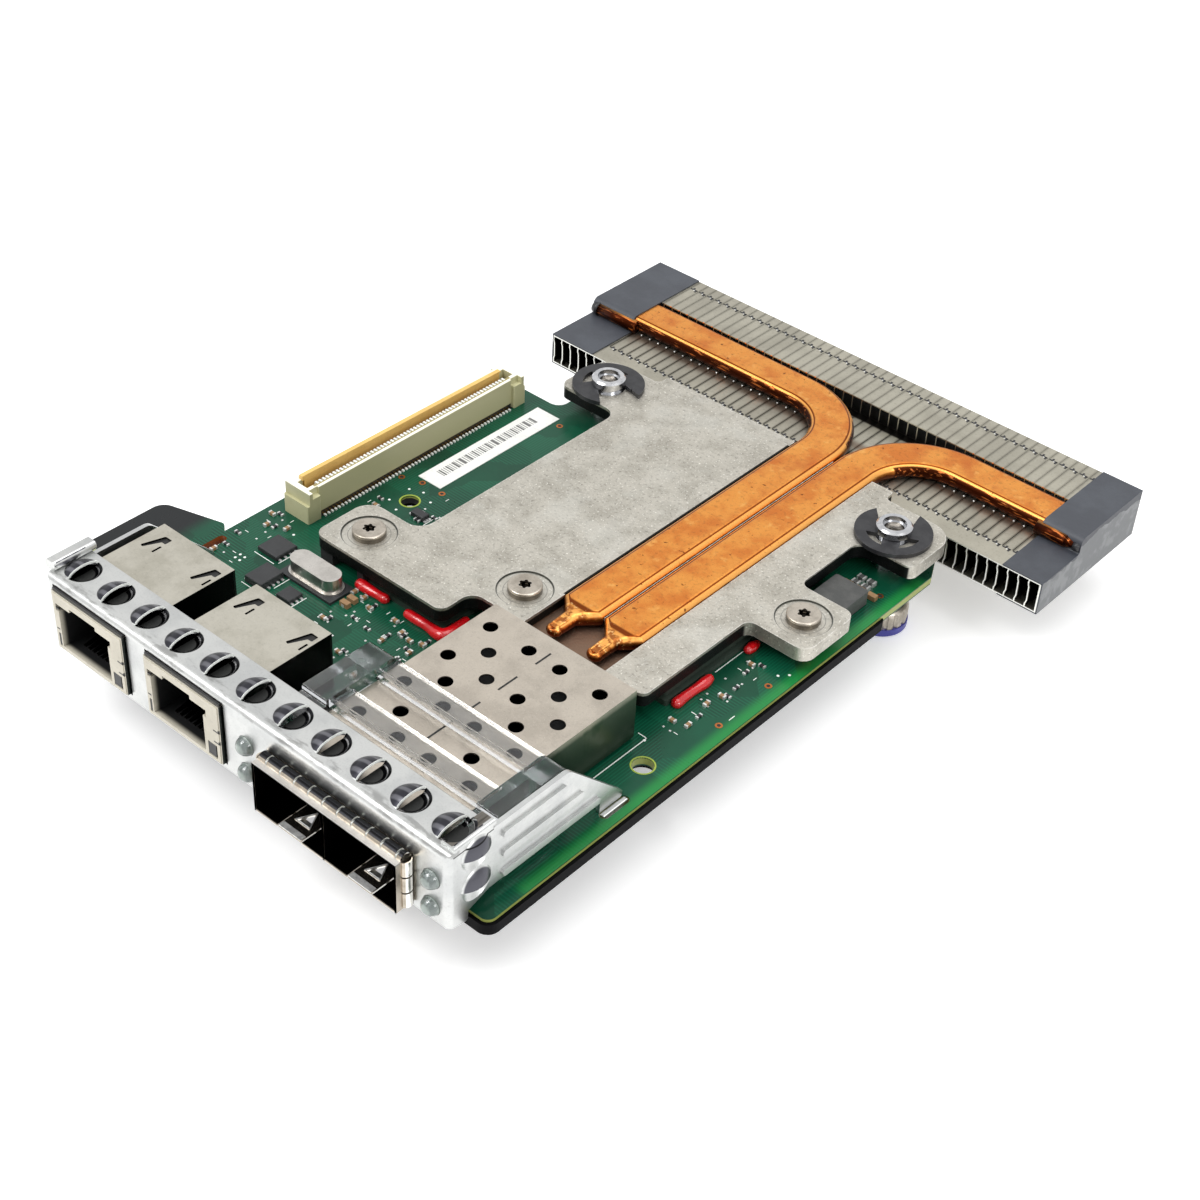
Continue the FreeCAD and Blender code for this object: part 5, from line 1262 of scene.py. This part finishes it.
def chipLeads():
    # soldered leads along two sides of each small chip
    shape = bmesh.new()
    for x, y, length, width in leads["chips"]:
        count = max(3, int(width / leads["pitch"]))
        for k in range(count):
            middle = y - width / 2 + (k + 0.5) * width / count
            for side in (-1, 1):
                edge = x + side * length / 2
                low, high = sorted((edge - side * leads["under"], edge + side * leads["reach"]))
                addBlock(shape, (low, middle - leads["half"], 0.0),
                         (high, middle + leads["half"], leads["height"]))
    meshPiece("chipLeads", shape, "solderAndGlintBright")


rear = {"first": (81.0, 99.6), "step": (2.0, 1.7), "body": (-0.45, -0.5, 0.0, 0.45, 0.5, 0.75),
        "caps": [(-0.72, -0.52, 0.0, -0.40, 0.52, 0.78), (0.40, -0.52, 0.0, 0.72, 0.52, 0.78)]}


def rearCapacitors():
    # two short rows behind the inductor
    bodies, caps = [], []
    for row in range(2):
        for k in range(3):
            x, y = rear["first"][0] + row * rear["step"][0], rear["first"][1] + k * rear["step"][1]
            for found, boxes in ((bodies, [rear["body"]]), (caps, rear["caps"])):
                found += [(x + x0, y + y0, z0, x + x1, y + y1, z1) for x0, y0, z0, x1, y1, z1 in boxes]
    blockPiece("rearCapacitors", bodies, "inductorGrey")
    blockPiece("rearCapacitorEnds", caps, "solderAndGlintBright")


chipLeads()
rearCapacitors()
glueBeads()
boardParts()
boardVias()
inkMarks()
blockPiece("foamStrips", foam, "foamBlack")
print("board dressed")


# stage, lights and camera

stageLook = {"floorLevel": -13.1, "floorSize": 3.0, "floorColour": (244, 244, 244), "floorLift": 0.35,
             "worldLevel": 0.55}


def seenDirectly(tree):
    # 1 where the camera, a mirror or clear plastic looks at the background
    path = tree.nodes.new("ShaderNodeLightPath").outputs
    first = mathNode(tree, "MAXIMUM", path["Is Camera Ray"], path["Is Glossy Ray"])
    return mathNode(tree, "MAXIMUM", first, path["Is Transmission Ray"])


def makeStage():
    shape = bmesh.new()
    size, level = stageLook["floorSize"], stageLook["floorLevel"] * mm
    corners = ((-1, -1), (1, -1), (1, 1), (-1, 1))
    shape.faces.new([shape.verts.new((x * size, y * size, level)) for x, y in corners])
    floor = newObject("floor", newMesh("floor", shape))
    material = bpy.data.materials.new("paleFloor")
    material.use_nodes = True
    tree = material.node_tree
    shader = tree.nodes["Principled BSDF"]
    for label, value in (("Base Color", paint(*stageLook["floorColour"])), ("Roughness", 0.9),
                         ("Specular IOR Level", 0.1), ("Emission Color", (1, 1, 1, 1))):
        shader.inputs[label].default_value = value
    lift = times(tree, seenDirectly(tree), stageLook["floorLift"])
    tree.links.new(lift, shader.inputs["Emission Strength"])
    floor.data.materials.append(material)


def makeWorld():
    world = bpy.data.worlds.new("studio")
    bpy.context.scene.world = world
    world.use_nodes = True
    tree = world.node_tree
    back = tree.nodes["Background"]
    back.inputs["Color"].default_value = (1, 1, 1, 1)
    tree.links.new(mixNumber(tree, seenDirectly(tree), stageLook["worldLevel"], 1.0), back.inputs["Strength"])


lamps = {  # places and sizes in metres
    "keyLamp": {"at": (-0.35, -0.45, 0.75), "size": 0.45, "watts": 5.0},
    "topLamp": {"at": (0.10, 0.25, 0.95), "size": 0.8, "watts": 4.0},
    "sideLamp": {"at": (0.75, -0.10, 0.45), "size": 0.35, "watts": 2.2},
}


def makeLamps():
    target = Vector((-0.02, 0.03, 0.0))
    for name, lamp in lamps.items():
        light = bpy.data.lights.new(name, "AREA")
        light.shape = "SQUARE"
        light.size = lamp["size"]
        light.energy = lamp["watts"]
        holder = newObject(name, light)
        holder.location = lamp["at"]
        holder.rotation_euler = (target - Vector(lamp["at"])).to_track_quat("-Z", "Y").to_euler()


view = {"at": (220.17, -135.47, 211.42), "azimuth": 39.31, "elevation": 38.78, "roll": 3.38, "lens": 61.98}


def makeCamera():
    # the photo's own viewpoint
    camera = bpy.data.cameras.new("camera")
    camera.sensor_width = 36
    camera.lens = view["lens"]
    camera.clip_start = 0.01
    azimuth, elevation, roll = (math.radians(view[key]) for key in ("azimuth", "elevation", "roll"))
    back = Vector((math.sin(azimuth) * math.cos(elevation), -math.cos(azimuth) * math.cos(elevation),
                   math.sin(elevation)))
    right = Vector((math.cos(azimuth), math.sin(azimuth), 0))
    up = back.cross(right)
    rolledRight = right * math.cos(roll) + up * math.sin(roll)
    rolledUp = up * math.cos(roll) - right * math.sin(roll)
    turn = Matrix((rolledRight, rolledUp, back)).transposed().to_4x4()
    holder = newObject("camera", camera)
    holder.matrix_world = Matrix.Translation(place(*view["at"])) @ turn
    bpy.context.scene.camera = holder


makeStage()
makeWorld()
makeLamps()
makeCamera()
bpy.context.scene.view_settings.view_transform = "Standard"
print("stage set")
